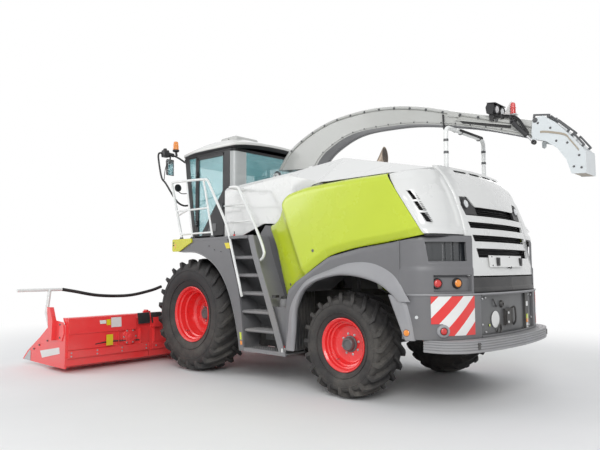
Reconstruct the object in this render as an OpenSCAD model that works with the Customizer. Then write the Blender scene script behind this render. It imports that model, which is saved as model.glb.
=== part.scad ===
/* [Overall] */
// Distance from the front axle to the rear axle
wheelbase = 2970; // [2950:5:2990]
// Height of the roof's highest point
overall_h = 3960; // [3940:5:3980]

/* [Wheels] */
// Front tyre radius
front_r = 870; // [860:1:875]
// Front tyre width
front_w = 650; // [620:10:660]
// Rear tyre radius
rear_r = 640; // [630:1:645]
// Rear tyre width
rear_w = 540; // [500:10:545]
// Lugs on each half of a tyre
lug_count = 22; // [18:1:24]
// Height of a front lug
lug_h = 48; // [35:1:55]
// Radius of the front rim under the tyre's bead
front_bead_r = 406; // [400:1:410]
// Radius of the rear rim under the tyre's bead
rear_bead_r = 305; // [300:1:310]

/* [Body] */
// Half width of the body over the service doors
body_half_w = 1440; // [1430:1:1445]
// Thickness of the body panels
panel_t = 25; // [18:1:28]
// Lean of the body's front and rear edges from upright
lean = 23; // [21:0.5:25]

/* [Cab] */
// Height of the cab's sill
cab_floor_z = 2060; // [2055:1:2065]
// Thickness of the cab's walls and door
cab_wall = 50; // [40:1:60]
// Half width of the cab
cab_half_w = 880; // [870:1:885]

/* [Spout] */
// Distance from the front axle back to the slewing axis
spout_x = 1050; // [1045:1:1055]
// Width of the spout's duct
duct_w = 300; // [280:5:320]
// Wall thickness of the duct
duct_t = 12; // [8:1:15]

/* [Header] */
// Spacing of the rotors
rotor_pitch = 710; // [705:1:712]
// Radius to the tips of a rotor's teeth
rotor_r = 330; // [320:1:334]
// Teeth round one rotor disc
rotor_teeth = 12; // [10:1:14]

/* [Hidden] */
$fn = 48;

// The front axle stands this far ahead of the middle of the whole length
origin_x = 1360;
front_y = 1500 - front_w / 2;
rear_y = 1430 - rear_w / 2;
kingpin_y = 880;
hitch_r = 16;
deck_z = 2050;
rail_r = 20;
brace_r = 16;
rail_y = 1440;
seam_z = 1285;
gap = 8;

// Shared shapes

module at_origin() translate([origin_x, 0, 0]) children();

module both_sides() {
    children();
    mirror([0, 1, 0]) children();
}

// A plate with its outline in the side view, between two widths
module side_cut(outline, y0, y1)
    translate([0, y1, 0]) rotate([90, 0, 0]) linear_extrude(y1 - y0) polygon(outline);

// A plate with its outline in the top view, between two heights
module plan_cut(outline, z0, z1)
    translate([0, 0, z0]) linear_extrude(z1 - z0) polygon(outline);

// A bar with its outline in the front view, between two lengths
module cross_cut(outline, x0, x1)
    translate([x0, 0, 0]) rotate([90, 0, 90]) linear_extrude(x1 - x0) polygon(outline);

module block(from, to) translate(from) cube([to[0] - from[0], to[1] - from[1], to[2] - from[2]]);

function mirrored(outline) = [for (i = [len(outline) - 1 : -1 : 0]) [outline[i][0], -outline[i][1]]];

// A round bar between two points
module rod(a, b, r) {
    d = b - a;
    translate(a) rotate([0, acos(d[2] / norm(d)), atan2(d[1], d[0])]) cylinder(h = norm(d), r = r);
}

module bar(a, b, r, side = 1) rod([a[0], side * a[1], a[2]], [b[0], side * b[1], b[2]], r);

function unit(v) = v / norm(v);

// How far a bend reaches along the legs at a corner
function bend_reach(a, b, c, bend_r) =
    let (half = acos(unit(a - b) * unit(c - b)) / 2)
    min(bend_r / tan(half), norm(a - b) * 0.45, norm(c - b) * 0.45);

// The round bend of a pipe at a corner, a hair thicker than its legs
module elbow(a, b, c, r, bend_r) {
    u = unit(a - b);
    v = unit(c - b);
    half = acos(u * v) / 2;
    reach = bend_reach(a, b, c, bend_r);
    centre = b + unit(u + v) * reach / cos(half);
    e1 = unit(b + u * reach - centre);
    e2 = -u;
    e3 = cross(e1, e2);
    multmatrix([for (k = [0 : 2]) [e1[k], e2[k], e3[k], centre[k]]])
        rotate_extrude(angle = 180 - 2 * half) translate([reach * tan(half), 0]) circle(r = r + 0.6);
}

// A bent pipe on the left (side 1) or on the right (side -1)
module pipe(points, r, bend_r, side = 1) {
    route = [for (p = points) [p[0], side * p[1], p[2]]];
    last = len(route) - 1;
    for (i = [0 : last - 1]) {
        d = unit(route[i + 1] - route[i]);
        from = i == 0 ? 0 : bend_reach(route[i - 1], route[i], route[i + 1], bend_r) - 4;
        to = i == last - 1 ? 0 : bend_reach(route[i], route[i + 1], route[i + 2], bend_r) - 4;
        rod(route[i] + d * from, route[i + 1] - d * to, r);
    }
    for (i = [1 : last - 1]) elbow(route[i - 1], route[i], route[i + 1], r, bend_r);
}

// Wheels

// The tread bar of one half, in the unrolled tread's plane: along the turn, then across
lug_plan = [[25, -15], [-35, -15], [-95, 100], [-200, 290], [-200, 345], [-130, 345], [-15, 110]];

// A tyre's body: its beads sit on the rim between the flanges
module tyre_body(r, w, bead_r, rim_half_w) {
    half = [[bead_r, rim_half_w - 22], [bead_r + 34, rim_half_w - 22], [bead_r + 70, rim_half_w + 8],
        [r * 0.74, w / 2], [r * 0.9, w / 2 - 12], [r * 0.97, w / 2 - 50], [r, w / 2 - 170]];
    rotate([90, 0, 0]) rotate_extrude($fn = 66) polygon(concat(half, mirrored(half)));
}

module lug_ring(r, w) {
    for (i = [0 : lug_count - 1], side = [0, 1])
        rotate([0, (i + side / 2) * 360 / lug_count, 0]) translate([0, 0, r - 120])
            mirror([0, side, 0]) linear_extrude(120) scale(w / front_w) polygon(lug_plan);
}

module tyre(r, w, bead_r, bar_h) {
    rim_half_w = w * 0.41;
    tyre_body(r - bar_h, w - 14, bead_r, rim_half_w);
    intersection() {
        lug_ring(r, w);
        tyre_body(r, w, bead_r + 100, rim_half_w);
    }
}

// A rim with its disc set deep in the barrel, its outer face towards +Y
module rim(bead_r, w, disc_y, hub_r) {
    h = w * 0.41;
    flange_r = bead_r + 26;
    inner_r = bead_r - 10;
    rotate([-90, 0, 0]) {
        difference() {
            rotate_extrude($fn = 66) polygon([
                [flange_r, -h], [flange_r, 22 - h], [bead_r, 22 - h], [bead_r, h - 22],
                [flange_r, h - 22], [flange_r, h], [flange_r - 8, h], [inner_r, h - 20],
                [inner_r - 34, h - 90], [inner_r - 60, disc_y + 60], [inner_r - 120, disc_y + 14],
                [hub_r, disc_y + 14], [hub_r, disc_y - 14], [inner_r - 70, disc_y - 14],
                [inner_r - 40, disc_y - 40], [inner_r - 40, 80 - h], [inner_r, 20 - h], [flange_r - 8, -h]]);
            for (i = [0 : 7]) rotate(i * 45 + 22.5)
                translate([(inner_r - 120 + hub_r) / 2 + 20, 0, disc_y - 60])
                    cylinder(h = 120, r = bead_r * 0.055);
        }
    }
}

module wheel_place(x, y, r) at_origin() translate([x, y, r]) children();

module tyre_front_left() color("#1c1c1e")
    wheel_place(0, front_y, front_r) tyre(front_r, front_w, front_bead_r, lug_h);
module tyre_front_right() color("#1c1c1e")
    wheel_place(0, -front_y, front_r) tyre(front_r, front_w, front_bead_r, lug_h);
module tyre_rear_left() color("#1c1c1e")
    wheel_place(-wheelbase, rear_y, rear_r) tyre(rear_r, rear_w, rear_bead_r, 42);
module tyre_rear_right() color("#1c1c1e")
    wheel_place(-wheelbase, -rear_y, rear_r) tyre(rear_r, rear_w, rear_bead_r, 42);
module rim_front_left() color("#d8232a")
    wheel_place(0, front_y, front_r) rim(front_bead_r, front_w, -90, 125);
module rim_front_right() color("#d8232a")
    wheel_place(0, -front_y, front_r) mirror([0, 1, 0]) rim(front_bead_r, front_w, -90, 125);
module rim_rear_left() color("#d8232a")
    wheel_place(-wheelbase, rear_y, rear_r) rim(rear_bead_r, rear_w, 40, 80);
module rim_rear_right() color("#d8232a")
    wheel_place(-wheelbase, -rear_y, rear_r) mirror([0, 1, 0]) rim(rear_bead_r, rear_w, 40, 80);

// Running gear

chassis_side = [[360, 1080], [360, 1260], [-2300, 1260], [-2450, 1200], [-4000, 1200], [-4000, 1000],
    [-3500, 1000], [-3350, 1060], [-2600, 1060], [-2300, 990], [-300, 990], [-200, 1080]];

module chassis() color("#3b3e40") at_origin() {
    both_sides() side_cut(chassis_side, 350, 430);
    for (x = [-1500, -2250, -3450]) block([x - 50, -351, 1070], [x + 50, 351, 1170]);
    // Posts up to the body's deck, and the tail's cross member with the hitch
    both_sides() for (x = [-1450, -2500, -3900])
        block([x - 40, 430, 1100], [x + 40, 500, x < -3000 ? 1560 : 2500]);
    difference() {
        union() {
            block([-4090, -430, 1000], [-4000, 430, 1180]);
            block([-4150, -110, 845], [-4000, 110, 1000]);
        }
        block([-4200, -111, 885], [-4040, 111, 915]);
        translate([-4095, 0, 800]) cylinder(h = 200, r = hitch_r);
    }
}

module engine() color("#55585a") at_origin() block([-3950, -345, 1205], [-3150, 345, 2300]);

// The housing of the chopping drum, with the chute that leads up to the spout
module crop_unit() color("#46494b") at_origin() {
    difference() {
        side_cut([[-60, 1020], [-60, 1500], [-500, 2000], [-720, 2055], [-720, 2880], [-1400, 2880],
            [-1400, 1010]], -340, 340);
        translate([250, 0, 1110]) rotate([90, 0, 0]) cylinder(h = 700, r = 260, center = true);
        translate([-spout_x, 0, 2300]) cylinder(h = 700, r = 300);
    }
}

module front_axle() color("#3b3e40") at_origin() {
    translate([0, 0, front_r]) rotate([90, 0, 0]) cylinder(h = 1560, r = 90, center = true);
    both_sides() translate([0, 780, front_r]) rotate([-90, 0, 0])
        cylinder(h = front_y - 90 - 14 - 780, r = 124);
    both_sides() side_cut([[-250, 850], [-120, 990], [-120, 1080], [-200, 1080], [-300, 990], [-300, 850]],
        360, 420);
    both_sides() side_cut([[-300, 850], [-90, 850], [-60, 790], [-300, 790]], 360, 420);
}

module rear_axle() color("#3b3e40") at_origin() {
    difference() {
        union() {
            side_cut([[-wheelbase - 90, 570], [-wheelbase + 90, 570], [-wheelbase + 90, 760],
                [-wheelbase - 90, 760]], -790, 790);
            both_sides() block([-wheelbase - 80, 740, 480], [-wheelbase + 80, 955, 565]);
            both_sides() block([-wheelbase - 80, 740, 715], [-wheelbase + 80, 955, 800]);
            both_sides() block([-wheelbase - 80, 740, 480], [-wheelbase + 80, 790, 800]);
            block([-wheelbase - 110, -150, 755], [-wheelbase + 110, 150, 900]);
        }
        both_sides() translate([-wheelbase, kingpin_y, 400]) cylinder(h = 500, r = 40);
    }
    block([-wheelbase - 90, -349, 900], [-wheelbase + 90, 349, 1058]);
}

module knuckle() {
    translate([-wheelbase, kingpin_y, 480]) cylinder(h = 320, r = 39.95);
    translate([-wheelbase, kingpin_y, 571]) cylinder(h = 138, r = 72);
    translate([-wheelbase, kingpin_y, rear_r]) rotate([-90, 0, 0])
        cylinder(h = rear_y + 26 - kingpin_y, r = 60);
    translate([-wheelbase, rear_y + 16, rear_r]) rotate([-90, 0, 0]) cylinder(h = 40, r = 79.95);
}

module knuckle_left() color("#3b3e40") at_origin() knuckle();
module knuckle_right() color("#3b3e40") at_origin() mirror([0, 1, 0]) knuckle();

// Cab

// The cab's outline from the side, set in by a wall
function cab_side(t) = [[930 - t, cab_floor_z + t], [1090 - t, 2560], [1070 - t, 3480], [t - 350, 3480],
    [t - 350, cab_floor_z + t]];

// Its outline from above, with the bowed front
function cab_plan(t) =
    let (half = [[t - 350, cab_half_w - t], [620, cab_half_w - t], [900 - t / 2, 700 - t / 2],
        [1090 - t, 300]])
    concat(half, mirrored(half));

module cab_solid(t, top = 3480) intersection() {
    side_cut([for (p = cab_side(t)) [p[0], p[1] == 3480 ? top : p[1]]], -900, 900);
    plan_cut(cab_plan(t), 2000, 3600);
}

module cab_shell() difference() {
    cab_solid(0);
    cab_solid(cab_wall, 3600);
}

// The openings in the cab's frame: windscreen, right side, rear, rear quarter and the left doorway
windscreen = [[690, 2170], [1300, 2170], [1300, 3420], [690, 3420]];
side_window = [[-60, 2170], [600, 2170], [600, 3420], [-60, 3420]];
quarter_window = [[-300, 2700], [-110, 2700], [-110, 3420], [-300, 3420]];
door_opening = [[-60, 2080], [600, 2080], [600, 3420], [-60, 3420]];

door_pane = [[-5, 2800], [420, 2135], [545, 2135], [545, 3365], [-5, 3365]];

function grown(outline, d) = [[outline[0][0] - d, outline[0][1] - d], [outline[1][0] + d, outline[1][1] - d],
    [outline[2][0] + d, outline[2][1] + d], [outline[3][0] - d, outline[3][1] + d]];

// The cab door's hinge axis, and an eye of it with a foot towards the frame (side 1) or the door (-1)
door_axis = [600, 903];

module door_eye(z, side) {
    translate([door_axis[0], door_axis[1], z]) cylinder(h = 30, r = 13);
    block([side > 0 ? 602 : 560, 860, z], [side > 0 ? 632 : 592, door_axis[1], z + 30]);
}

module cab_frame() color("#2e3133") at_origin() {
    cab_opened();
    for (z = [2300, 3150]) {
        door_eye(z, 1);
        door_eye(z + 70, 1);
        translate([door_axis[0], door_axis[1], z]) cylinder(h = 100, r = 7);
    }
}

module cab_opened() difference() {
    cab_shell();
    difference() {
        side_cut(windscreen, -900, 900);
        block([600, -900, 2000], [760, -600, 3500]);
        block([600, 600, 2000], [760, 900, 3500]);
    }
    side_cut(side_window, -1000, -600);
    side_cut(door_opening, 600, 1000);
    both_sides() side_cut(quarter_window, 600, 1000);
    block([-400, -700, 2700], [-250, 700, 3420]);
}

// Panes stand in the middle of the frame and touch the edges of their openings
module cab_glass() color("#9fc4c2") at_origin() {
    intersection() {
        difference() {
            cab_solid(18, 3480);
            cab_solid(26, 3600);
        }
        difference() {
            side_cut(windscreen, -900, 900);
            block([600, -900, 2000], [760, -600, 3500]);
            block([600, 600, 2000], [760, 900, 3500]);
        }
    }
    side_cut(side_window, 20 - cab_half_w, 28 - cab_half_w);
    both_sides() side_cut(quarter_window, cab_half_w - 28, cab_half_w - 20);
    block([-330, -700, 2700], [-322, 700, 3420]);
}

module cab_door() color("#2e3133") at_origin() {
    difference() {
        side_cut(grown(door_opening, -gap), cab_half_w - cab_wall, cab_half_w);
        side_cut(door_pane, 600, 1000);
    }
    difference() {
        for (z = [2335, 3185]) door_eye(z, -1);
        translate([door_axis[0], door_axis[1], 2300]) cylinder(h = 1000, r = 7.05);
    }
}

module cab_door_glass() color("#9fc4c2") at_origin()
    side_cut(door_pane, cab_half_w - 28, cab_half_w - 20);

roof_half = [[-480, 780], [-420, 900], [560, 950], [850, 850], [1040, 600], [1115, 250]];

module cab_roof() color("#eceeea") at_origin() {
    intersection() {
        side_cut([[1110, 3560], [1060, 3480], [-400, 3480], [-480, 3560], [-470, 3670], [-250, 3810],
            [200, 3920], [560, 3940], [900, 3870], [1080, 3740]], -1000, 1000);
        plan_cut(concat(roof_half, mirrored(roof_half)), 3400, 4000);
        cross_cut([[-950, 3400], [-950, 3640], [-860, 3740], [-500, 3900], [0, 3940], [500, 3900],
            [860, 3740], [950, 3640], [950, 3400]], -600, 1200);
    }
    block([320, -250, 3890], [700, 250, overall_h]);
}

module cab_interior() color("#3a3d42") at_origin() {
    floor_z = cab_floor_z + cab_wall;
    block([-60, -250, floor_z], [420, 250, 2300]);
    side_cut([[-100, 2300], [440, 2300], [460, 2560], [-40, 2540], [-140, 3100], [-230, 3080],
        [-180, 2300]], -240, 240);
    side_cut([[-60, 2300], [350, 2300], [420, 2600], [420, 2680], [-60, 2620]], -420, -240);
    translate([760, 0, floor_z]) cylinder(h = 70, r = 60);
    rod([760, 0, floor_z + 40], [620, 0, 2780], 45);
    rod([622, 0, 2770], [608, 0, 2835], 190);
}

// Access and front fenders

fender_outer = [[440, deck_z], [440, 1960], [300, 1850], [180, 1840], [-170, 1820], [-490, 1700],
    [-720, 1530], [-910, 1270], [-1050, 930], [-1140, 600], [-1170, 420], [-1260, 420], [-1210, 900],
    [-1120, 1350], [-1000, 1680], [-880, deck_z]];
fender_liner = [[180, 1840], [-170, 1820], [-490, 1700], [-720, 1530], [-910, 1270], [-1050, 930],
    [-1140, 600], [-1170, 420], [-1195, 420], [-1165, 606], [-1074, 940], [-932, 1285], [-738, 1550],
    [-498, 1725], [-170, 1846], [180, 1865]];

module platforms() color("#4a4e50") at_origin() both_sides() {
    side_cut(fender_outer, 1420, 1460);
    side_cut(fender_liner, 890, 1420);
    block([-1100, 885, 2010], [950, 1420, deck_z]);
    block([430, 1160, 1880], [440, 1420, 2010]);
    block([-1100, 500, 2010], [-700, 885, deck_z]);
}

// Steps: height of each tread, and how far back its front end stands
step_table = [[1755, -880], [1500, -990], [1245, -1080], [990, -1180], [735, -1260]];

module ladder() color("#4a4e50") at_origin() {
    // Rear stringer, back wall and lowest tread
    side_cut([[-1110, deck_z - 42], [-1290, 2215], [-1500, 2190], [-1660, 1700], [-1830, 1110],
        [-2050, 1110], [-2050, 520], [-2060, 430], [-1262, 430], [-1262, 470], [-1215, 900],
        [-1125, 1350], [-1005, 1680], [-895, deck_z - 42]], 1050, 1070);
    block([-1300, 1070, 430], [-1262, 1090, 470]);
    side_cut([[-1260, deck_z - 42], [-1340, deck_z - 42], [-2000, 470], [-1890, 470]], 1070, 1450);
    block([-2060, 1070, 430], [-1262, 1450, 470]);
    for (s = step_table)
        side_cut([[s[1], s[0]], [s[1] - 18, s[0] - 40], [s[1] - 410, s[0] - 40], [s[1] - 400, s[0]]],
            1070, 1400);
    for (k = [0 : 9]) block([-2050 + k * 80, 1100, 470], [-2030 + k * 80, 1445, 478]);
}

module handrails() color("#f0f1ee") at_origin() for (side = [-1, 1]) {
    pipe([[240, rail_y, deck_z], [240, rail_y, 2120], [500, rail_y, 2990], [-340, rail_y, 2950],
        [-610, rail_y, 2610], [-850, rail_y, 2220], [-1180, 1490, 1420], [-1225, 1461, 1180]],
        rail_r, 70, side);
    bar([-20, rail_y, deck_z], [-20, rail_y, 2955], brace_r, side);
    bar([-550, rail_y - 0.5, deck_z], [-550, rail_y - 0.5, 2690], brace_r, side);
    bar([362, rail_y, 2500], [-676, rail_y, 2500], brace_r, side);
    bar([270, rail_y, 2180], [-545, rail_y, 2180], brace_r, side);
    pipe([[-820, 1101, 2770], [-820, rail_y, 2770], [-1110, rail_y, 2760], [-1420, rail_y, 2290],
        [-1640, rail_y, 1820], [-1530, rail_y, 1680]], rail_r, 80, side);
    for (z = [2500, 2290]) let (x = -1270 - (2500 - z) * 0.62)
        bar([x, rail_y, z], [x, 1101, z], brace_r, side);
}

// Body panels

// The white upper body, lofted through stations and set in by a wall
// columns: length, half width at the shoulder, its height, half width at the top edge, its height, height at the middle
upper_stations = [
    [-400, 1100, 2800, 1060, 2850, 2875],
    [-1830, 1100, 2890, 1050, 2940, 2965],
    [-2650, 1400, 2672, 900, 3060, 3075],
    [-3960, 1330, 2690, 868, 2775, 2800],
    [-4100, 1315, 2680, 868, 2762, 2795]];

function station_ring(s, t) =
    let (half = [[s[1] - t, t > 0 ? 1890 : 1900], [s[1] - t, s[2] - t / 2], [s[3] - t, s[4] - t],
        [0, s[5] - t]])
    [for (p = concat(half, [for (i = [2 : -1 : 0]) [-half[i][0], half[i][1]]])) [s[0], p[0], p[1]]];

module upper_body(t) {
    n = 7;
    past = t > 0 ? 10 : 0;
    rings = [for (i = [0 : len(upper_stations) - 1]) let (s = upper_stations[i])
        station_ring(concat([s[0] + (i == 0 ? past : i == len(upper_stations) - 1 ? -past : 0)],
            [for (k = [1 : 5]) s[k]]), t)];
    end = (len(rings) - 1) * n;
    polyhedron([for (r = rings) each r], concat(
        [for (k = [1 : n - 2]) [0, k + 1, k]],
        [for (i = [0 : len(rings) - 2], k = [0 : n - 1]) let (m = (k + 1) % n)
            each [[i * n + k, (i + 1) * n + m, (i + 1) * n + k], [i * n + k, i * n + m, (i + 1) * n + m]]],
        [for (k = [1 : n - 2]) [end, end + k, end + k + 1]]));
}

// A thin panel between two grids of points, rows by columns
module skin(outer, inner) {
    rows = len(outer);
    cols = len(outer[0]);
    n = rows * cols;
    polyhedron(concat([for (r = outer) each r], [for (r = inner) each r]), concat(
        [for (i = [0 : rows - 2], j = [0 : cols - 2]) let (a = i * cols + j, b = a + 1, c = b + cols,
            d = a + cols)
            each [[a, b, c], [a, c, d], [n + a, n + c, n + b], [n + a, n + d, n + c]]],
        [for (i = [0 : rows - 2], j = [0, cols - 1]) let (a = i * cols + j, d = a + cols)
            each (j == 0 ? [[a, d, n + d], [a, n + d, n + a]] : [[a, n + d, d], [a, n + a, n + d]])],
        [for (j = [0 : cols - 2], i = [0, rows - 1]) let (a = i * cols + j, b = a + 1)
            each (i == 0 ? [[a, n + a, n + b], [a, n + b, b]] : [[a, n + b, n + a], [a, b, n + b]])]));
}

// How far back the rear face stands at a height, in the middle
rear_profile = [[1550, -4510], [1700, -4490], [1950, -4450], [2200, -4390], [2450, -4300], [2650, -4190],
    [2800, -4060]];
rear_half = 858;

function rear_x(y, z) = lookup(z, rear_profile) + 80 * pow(y / rear_half, 2);

// How far back the rear edge of the service door stands at a height
function door_end_x(z) = -4150 + (z - 1945) * 0.664;

// The white corner's surface: s from its lower edge up, t from the service door round to the rear face
function corner_point(s, t) =
    let (z_top = 2670 + 74 * t, z = 1950 + (z_top - 1950) * s,
        shoulder = lookup(z, [[2450, 1440], [2600, 1405], [2690, 1340]]),
        a = [door_end_x(z) - gap, shoulder], b = [rear_x(870, z) + 4, 870], c = [b[0] + 60, a[1] - 20])
    [(1 - t) * (1 - t) * a[0] + 2 * t * (1 - t) * c[0] + t * t * b[0],
        (1 - t) * (1 - t) * a[1] + 2 * t * (1 - t) * c[1] + t * t * b[1], z];

module upper_shell() difference() {
    upper_body(0);
    upper_body(panel_t);
}

white_front = [[-400, 2060], [-400, 3200], [-2650, 3200], [-2650, 2672], [-2490, 2668], [-2075, 2595],
    [-1960, 2500], [-1885, 2312], [-1640, 2212], [-1290, 2235], [-760, 2060]];

// The hood's rear edge from above: along the white corner, then the rear face
hood_end = concat([[-3640, 1500]],
    [for (t = [0 : 0.25 : 1]) let (p = corner_point(1, t)) [p[0] + panel_t + 30, p[1]]],
    [for (y = [645, 430, 215, 40]) [rear_x(y, 2800) + panel_t + 13, y]]);

module front_panels() color("#eceeea") at_origin() difference() {
    intersection() {
        upper_shell();
        side_cut(white_front, -1500, 1500);
    }
    block([-1500, -500, 2700], [-350, 500, 3200]);
    translate([-2372, -300, 2800]) rotate([0, -20, 0]) cylinder(h = 500, r = 95);
}

// The rear lid's hinge on one side: eyes and pin on the hood, and the lid's strap between them
lid_axis = [-3950, 2815];

module lid_rod(y0, y1, r) translate([lid_axis[0], y1, lid_axis[1]]) rotate([90, 0, 0])
    cylinder(h = y1 - y0, r = r);

module hood_top() color("#eceeea") at_origin() {
    hood_shell();
    both_sides() {
        for (y = [563, 623]) {
            lid_rod(y, y + 24, 14);
            block([-3962, y, 2765], [-3938, y + 24, lid_axis[1]]);
        }
        lid_rod(563, 647, 8);
    }
}

module hood_shell() difference() {
    intersection() {
        upper_shell();
        side_cut([[-2652, 3200], [-2652, 2679], [-3650, 2686], [-4200, 2686], [-4200, 3200]], -1500, 1500);
        plan_cut(concat(hood_end, mirrored(hood_end), [[-2600, -1500], [-2600, 1500]]), 2000, 3300);
    }
    for (i = [-2 : 1]) block([-4030, i * 190 + 15, 2700], [-4000, i * 190 + 175, 2900]);
}

// The body's leaning envelope: a prism along the lean of its front and rear edges
module lean_prism() {
    half = [[-1380, 1180], [-1700, 1310], [-1950, 1405], [-2110, body_half_w], [-3800, body_half_w],
        [-4080, 1330], [-4220, 1130], [-4300, 880]];
    translate([0, 0, 2200]) rotate([0, lean, 0]) translate([0, 0, -2900])
        linear_extrude(3200) polygon([for (p = concat(half, [[-4300, 0], [-1380, 0]])) [p[0] * cos(lean),
            p[1]]]);
}

door_side = [[-1510, 2200], [-1810, 2300], [-1960, 2490], [-2080, 2580], [-2490, 2650], [-3070, 2665],
    [-3665, 2675], [-4150, 1945], [-3780, 1888], [-3290, 1828], [-2820, 1738], [-2500, 1560],
    [-2260, 1410], [-1840, 1130], [-1715, 1700], [-1706, 1820]];

module service_door() difference() {
    intersection() {
        side_cut(door_side, 1110, 1500);
        lean_prism();
        cross_cut([[1000, 1000], [1442, 1000], [1442, 2560], [1425, 2630], [1380, 2676], [1000, 2676]],
            -5000, 0);
    }
    intersection() {
        side_cut(door_side, 1000, 1500);
        translate([0, -panel_t, 0]) lean_prism();
        cross_cut([[1000, 900], [1417, 900], [1417, 2550], [1400, 2615], [1370, 2650], [1000, 2650]],
            -5000, 0);
    }
}

module service_door_left() color("#b4c81e") at_origin() service_door();
module service_door_right() color("#b4c81e") at_origin() mirror([0, 1, 0]) service_door();

// White corners between the service doors and the rear hood, each with three slanted slots
module rear_corners() color("#eceeea") at_origin() both_sides() difference() {
    skin([for (s = [0 : 0.2 : 1]) [for (t = [0 : 0.125 : 1]) corner_point(s, t)]],
        [for (s = [0 : 0.2 : 1]) [for (t = [0 : 0.125 : 1]) let (p = corner_point(s, t))
            [p[0] + panel_t * t, p[1] - panel_t * (1 - t), p[2]]]]);
    for (i = [0 : 2]) translate([-3920 - i * 80, 0, 2440 - i * 125]) rotate([0, 33, 0])
        block([-20, 1300, -48], [20, 1500, 48]);
}

slat_table = [2060, 1950, 1835, 1720]; // lower edge of each opening
hood_levels = [1560, 1640, 1780, 1920, 2060, 2200, 2340, 2480, 2600, 2700, 2760, 2800];

function rear_rows(levels, half, shift) =
    [for (z = levels) [for (k = [-5 : 5]) [rear_x(k * half / 5, z) + shift, k * half / 5, z]]];

module rear_hood() color("#eceeea") at_origin() {
    difference() {
        skin(rear_rows(hood_levels, rear_half, 0), rear_rows(hood_levels, rear_half, panel_t));
        for (z = slat_table) block([-4800, -740, z], [-4000, 740, z + 62]);
    }
    both_sides() difference() {
        union() {
            lid_rod(592, 618, 14);
            block([-4012, 592, 2790], [lid_axis[0], 618, 2806]);
        }
        lid_rod(580, 630, 8.05);
    }
}

module rear_grille() color("#1f2123") at_origin()
    skin(rear_rows([1690, 1850, 2000, 2150], 800, panel_t + 2),
        rear_rows([1690, 1850, 2000, 2150], 800, panel_t + 14));

// The grey upper body over the rear wheels, down to the seam
arch_edge = [[-3845, 1200], [-3760, 1290], [-3600, 1400], [-3380, 1470], [-3160, 1500], [-2920, 1490],
    [-2600, 1410], [-2390, 1270], [-2280, 1040], [-2260, 780], [-2225, 510]];
fender_side = concat([[-2085, 510], [-2105, 900], [-2105, 1270], [-2262, 1396], [-2505, 1534],
    [-2824, 1714], [-3293, 1807], [-3782, 1867], [-4152, 1928], [-4640, 1938], [-4640, seam_z],
    [-3860, seam_z]], arch_edge);
fender_lip = concat([[-2090, 510], [-2125, 770], [-2165, 1060], [-2300, 1275], [-2490, 1440],
    [-2850, 1560], [-3160, 1650], [-3500, 1640], [-3780, 1500], [-3880, 1290], [-3858, seam_z]], arch_edge);
liner_top = [[-2185, 1288], [-2385, 1288], [-2600, 1428], [-2920, 1508], [-3160, 1518], [-3380, 1488],
    [-3600, 1418], [-3745, 1305], [-3860, 1290], [-3860, 1305], [-3755, 1320], [-3605, 1433],
    [-3382, 1503], [-3160, 1533], [-2918, 1523], [-2594, 1443], [-2380, 1303], [-2185, 1303]];
upper_half = [[-2000, 1450], [-3880, 1450], [-4080, 1400], [-4240, 1260], [-4370, 1060], [-4450, 880]];

module rear_fenders() color("#4a4e50") at_origin() both_sides() {
    difference() {
        intersection() {
            side_cut(fender_side, 864, 1460);
            plan_cut(concat(upper_half, [[-4450, 500], [-2000, 500]]), 400, 2000);
        }
        plan_cut([[-1900, 1420], [-3870, 1420], [-4060, 1368], [-4210, 1234], [-4335, 1044],
            [-4410, 870], [-4410, 400], [-1900, 400]], 400, 2000);
        side_cut([[-4130, 1855], [-4520, 1855], [-4560, 1650], [-4170, 1660]], 1000, 1500);
    }
    side_cut(fender_lip, 1450, 1468);
    side_cut(liner_top, 870, 1420);
    plan_cut([[-2260, 1420], [-2245, 1420], [-2075, 1000], [-2075, 870], [-2090, 870], [-2090, 997]], 520,
        1288);
    plan_cut([[-2055, 1075], [-2065, 1200], [-2085, 1420], [-2100, 1420], [-2080, 1200], [-2070, 1075]],
        512, 1092);
}

// The closed skirt round the tail below the seam
skirt_half = [[-3865, 1440], [-4060, 1400], [-4220, 1290], [-4370, 1100], [-4470, 800], [-4530, 400]];

module tail_skirt() color("#4a4e50") at_origin() {
    difference() {
        plan_cut(concat(skirt_half, mirrored(skirt_half)), 790, seam_z - 3);
        plan_cut(concat([[-3800, 1410]], [for (p = skirt_half) [p[0] + 30, p[1] - 30]],
            mirrored([for (p = skirt_half) [p[0] + 30, p[1] - 30]]), [[-3800, -1410]]), 700, 1400);
        block([-4700, -560, 830], [-4480, 560, 1240]);
    }
    // The recessed plate with its side walls, and the front walls behind the wheels
    block([-4425, -575, 800], [-4410, 575, 1270]);
    both_sides() block([-4495, 561, 800], [-4410, 575, 1270]);
    both_sides() block([-3880, 505, 800], [-3865, 1412, 1280]);
    // Black trim between the seam and the rear hood
    difference() {
        plan_cut([[-4440, 860], [-4490, 500], [-4510, 0], [-4490, -500], [-4440, -860], [-4300, -860],
            [-4300, 860]], seam_z - 3, 1548);
        plan_cut([[-4410, 835], [-4462, 490], [-4482, 0], [-4462, -490], [-4410, -835], [-4200, -835],
            [-4200, 835]], 1200, 1600);
    }
}

bumper_half = [[-4080, 1350], [-4320, 1320], [-4505, 1120], [-4600, 800], [-4650, 400], [-4670, 100]];

module bumper() color("#3b3e40") at_origin() {
    difference() {
        plan_cut(concat(bumper_half, mirrored(bumper_half)), 650, 788);
        for (z = [682, 712, 742]) difference() {
            block([-4800, -1500, z], [-3900, 1500, z + 12]);
            plan_cut(concat([for (p = bumper_half) [p[0] + 14, p[1] - 10]],
                mirrored([for (p = bumper_half) [p[0] + 14, p[1] - 10]])), z - 1, z + 13);
        }
        block([-4300, -160, 600], [-4000, 160, 900]);
    }
    both_sides() block([-4280, 350, 788], [-4100, 430, 1000]);
}

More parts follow.
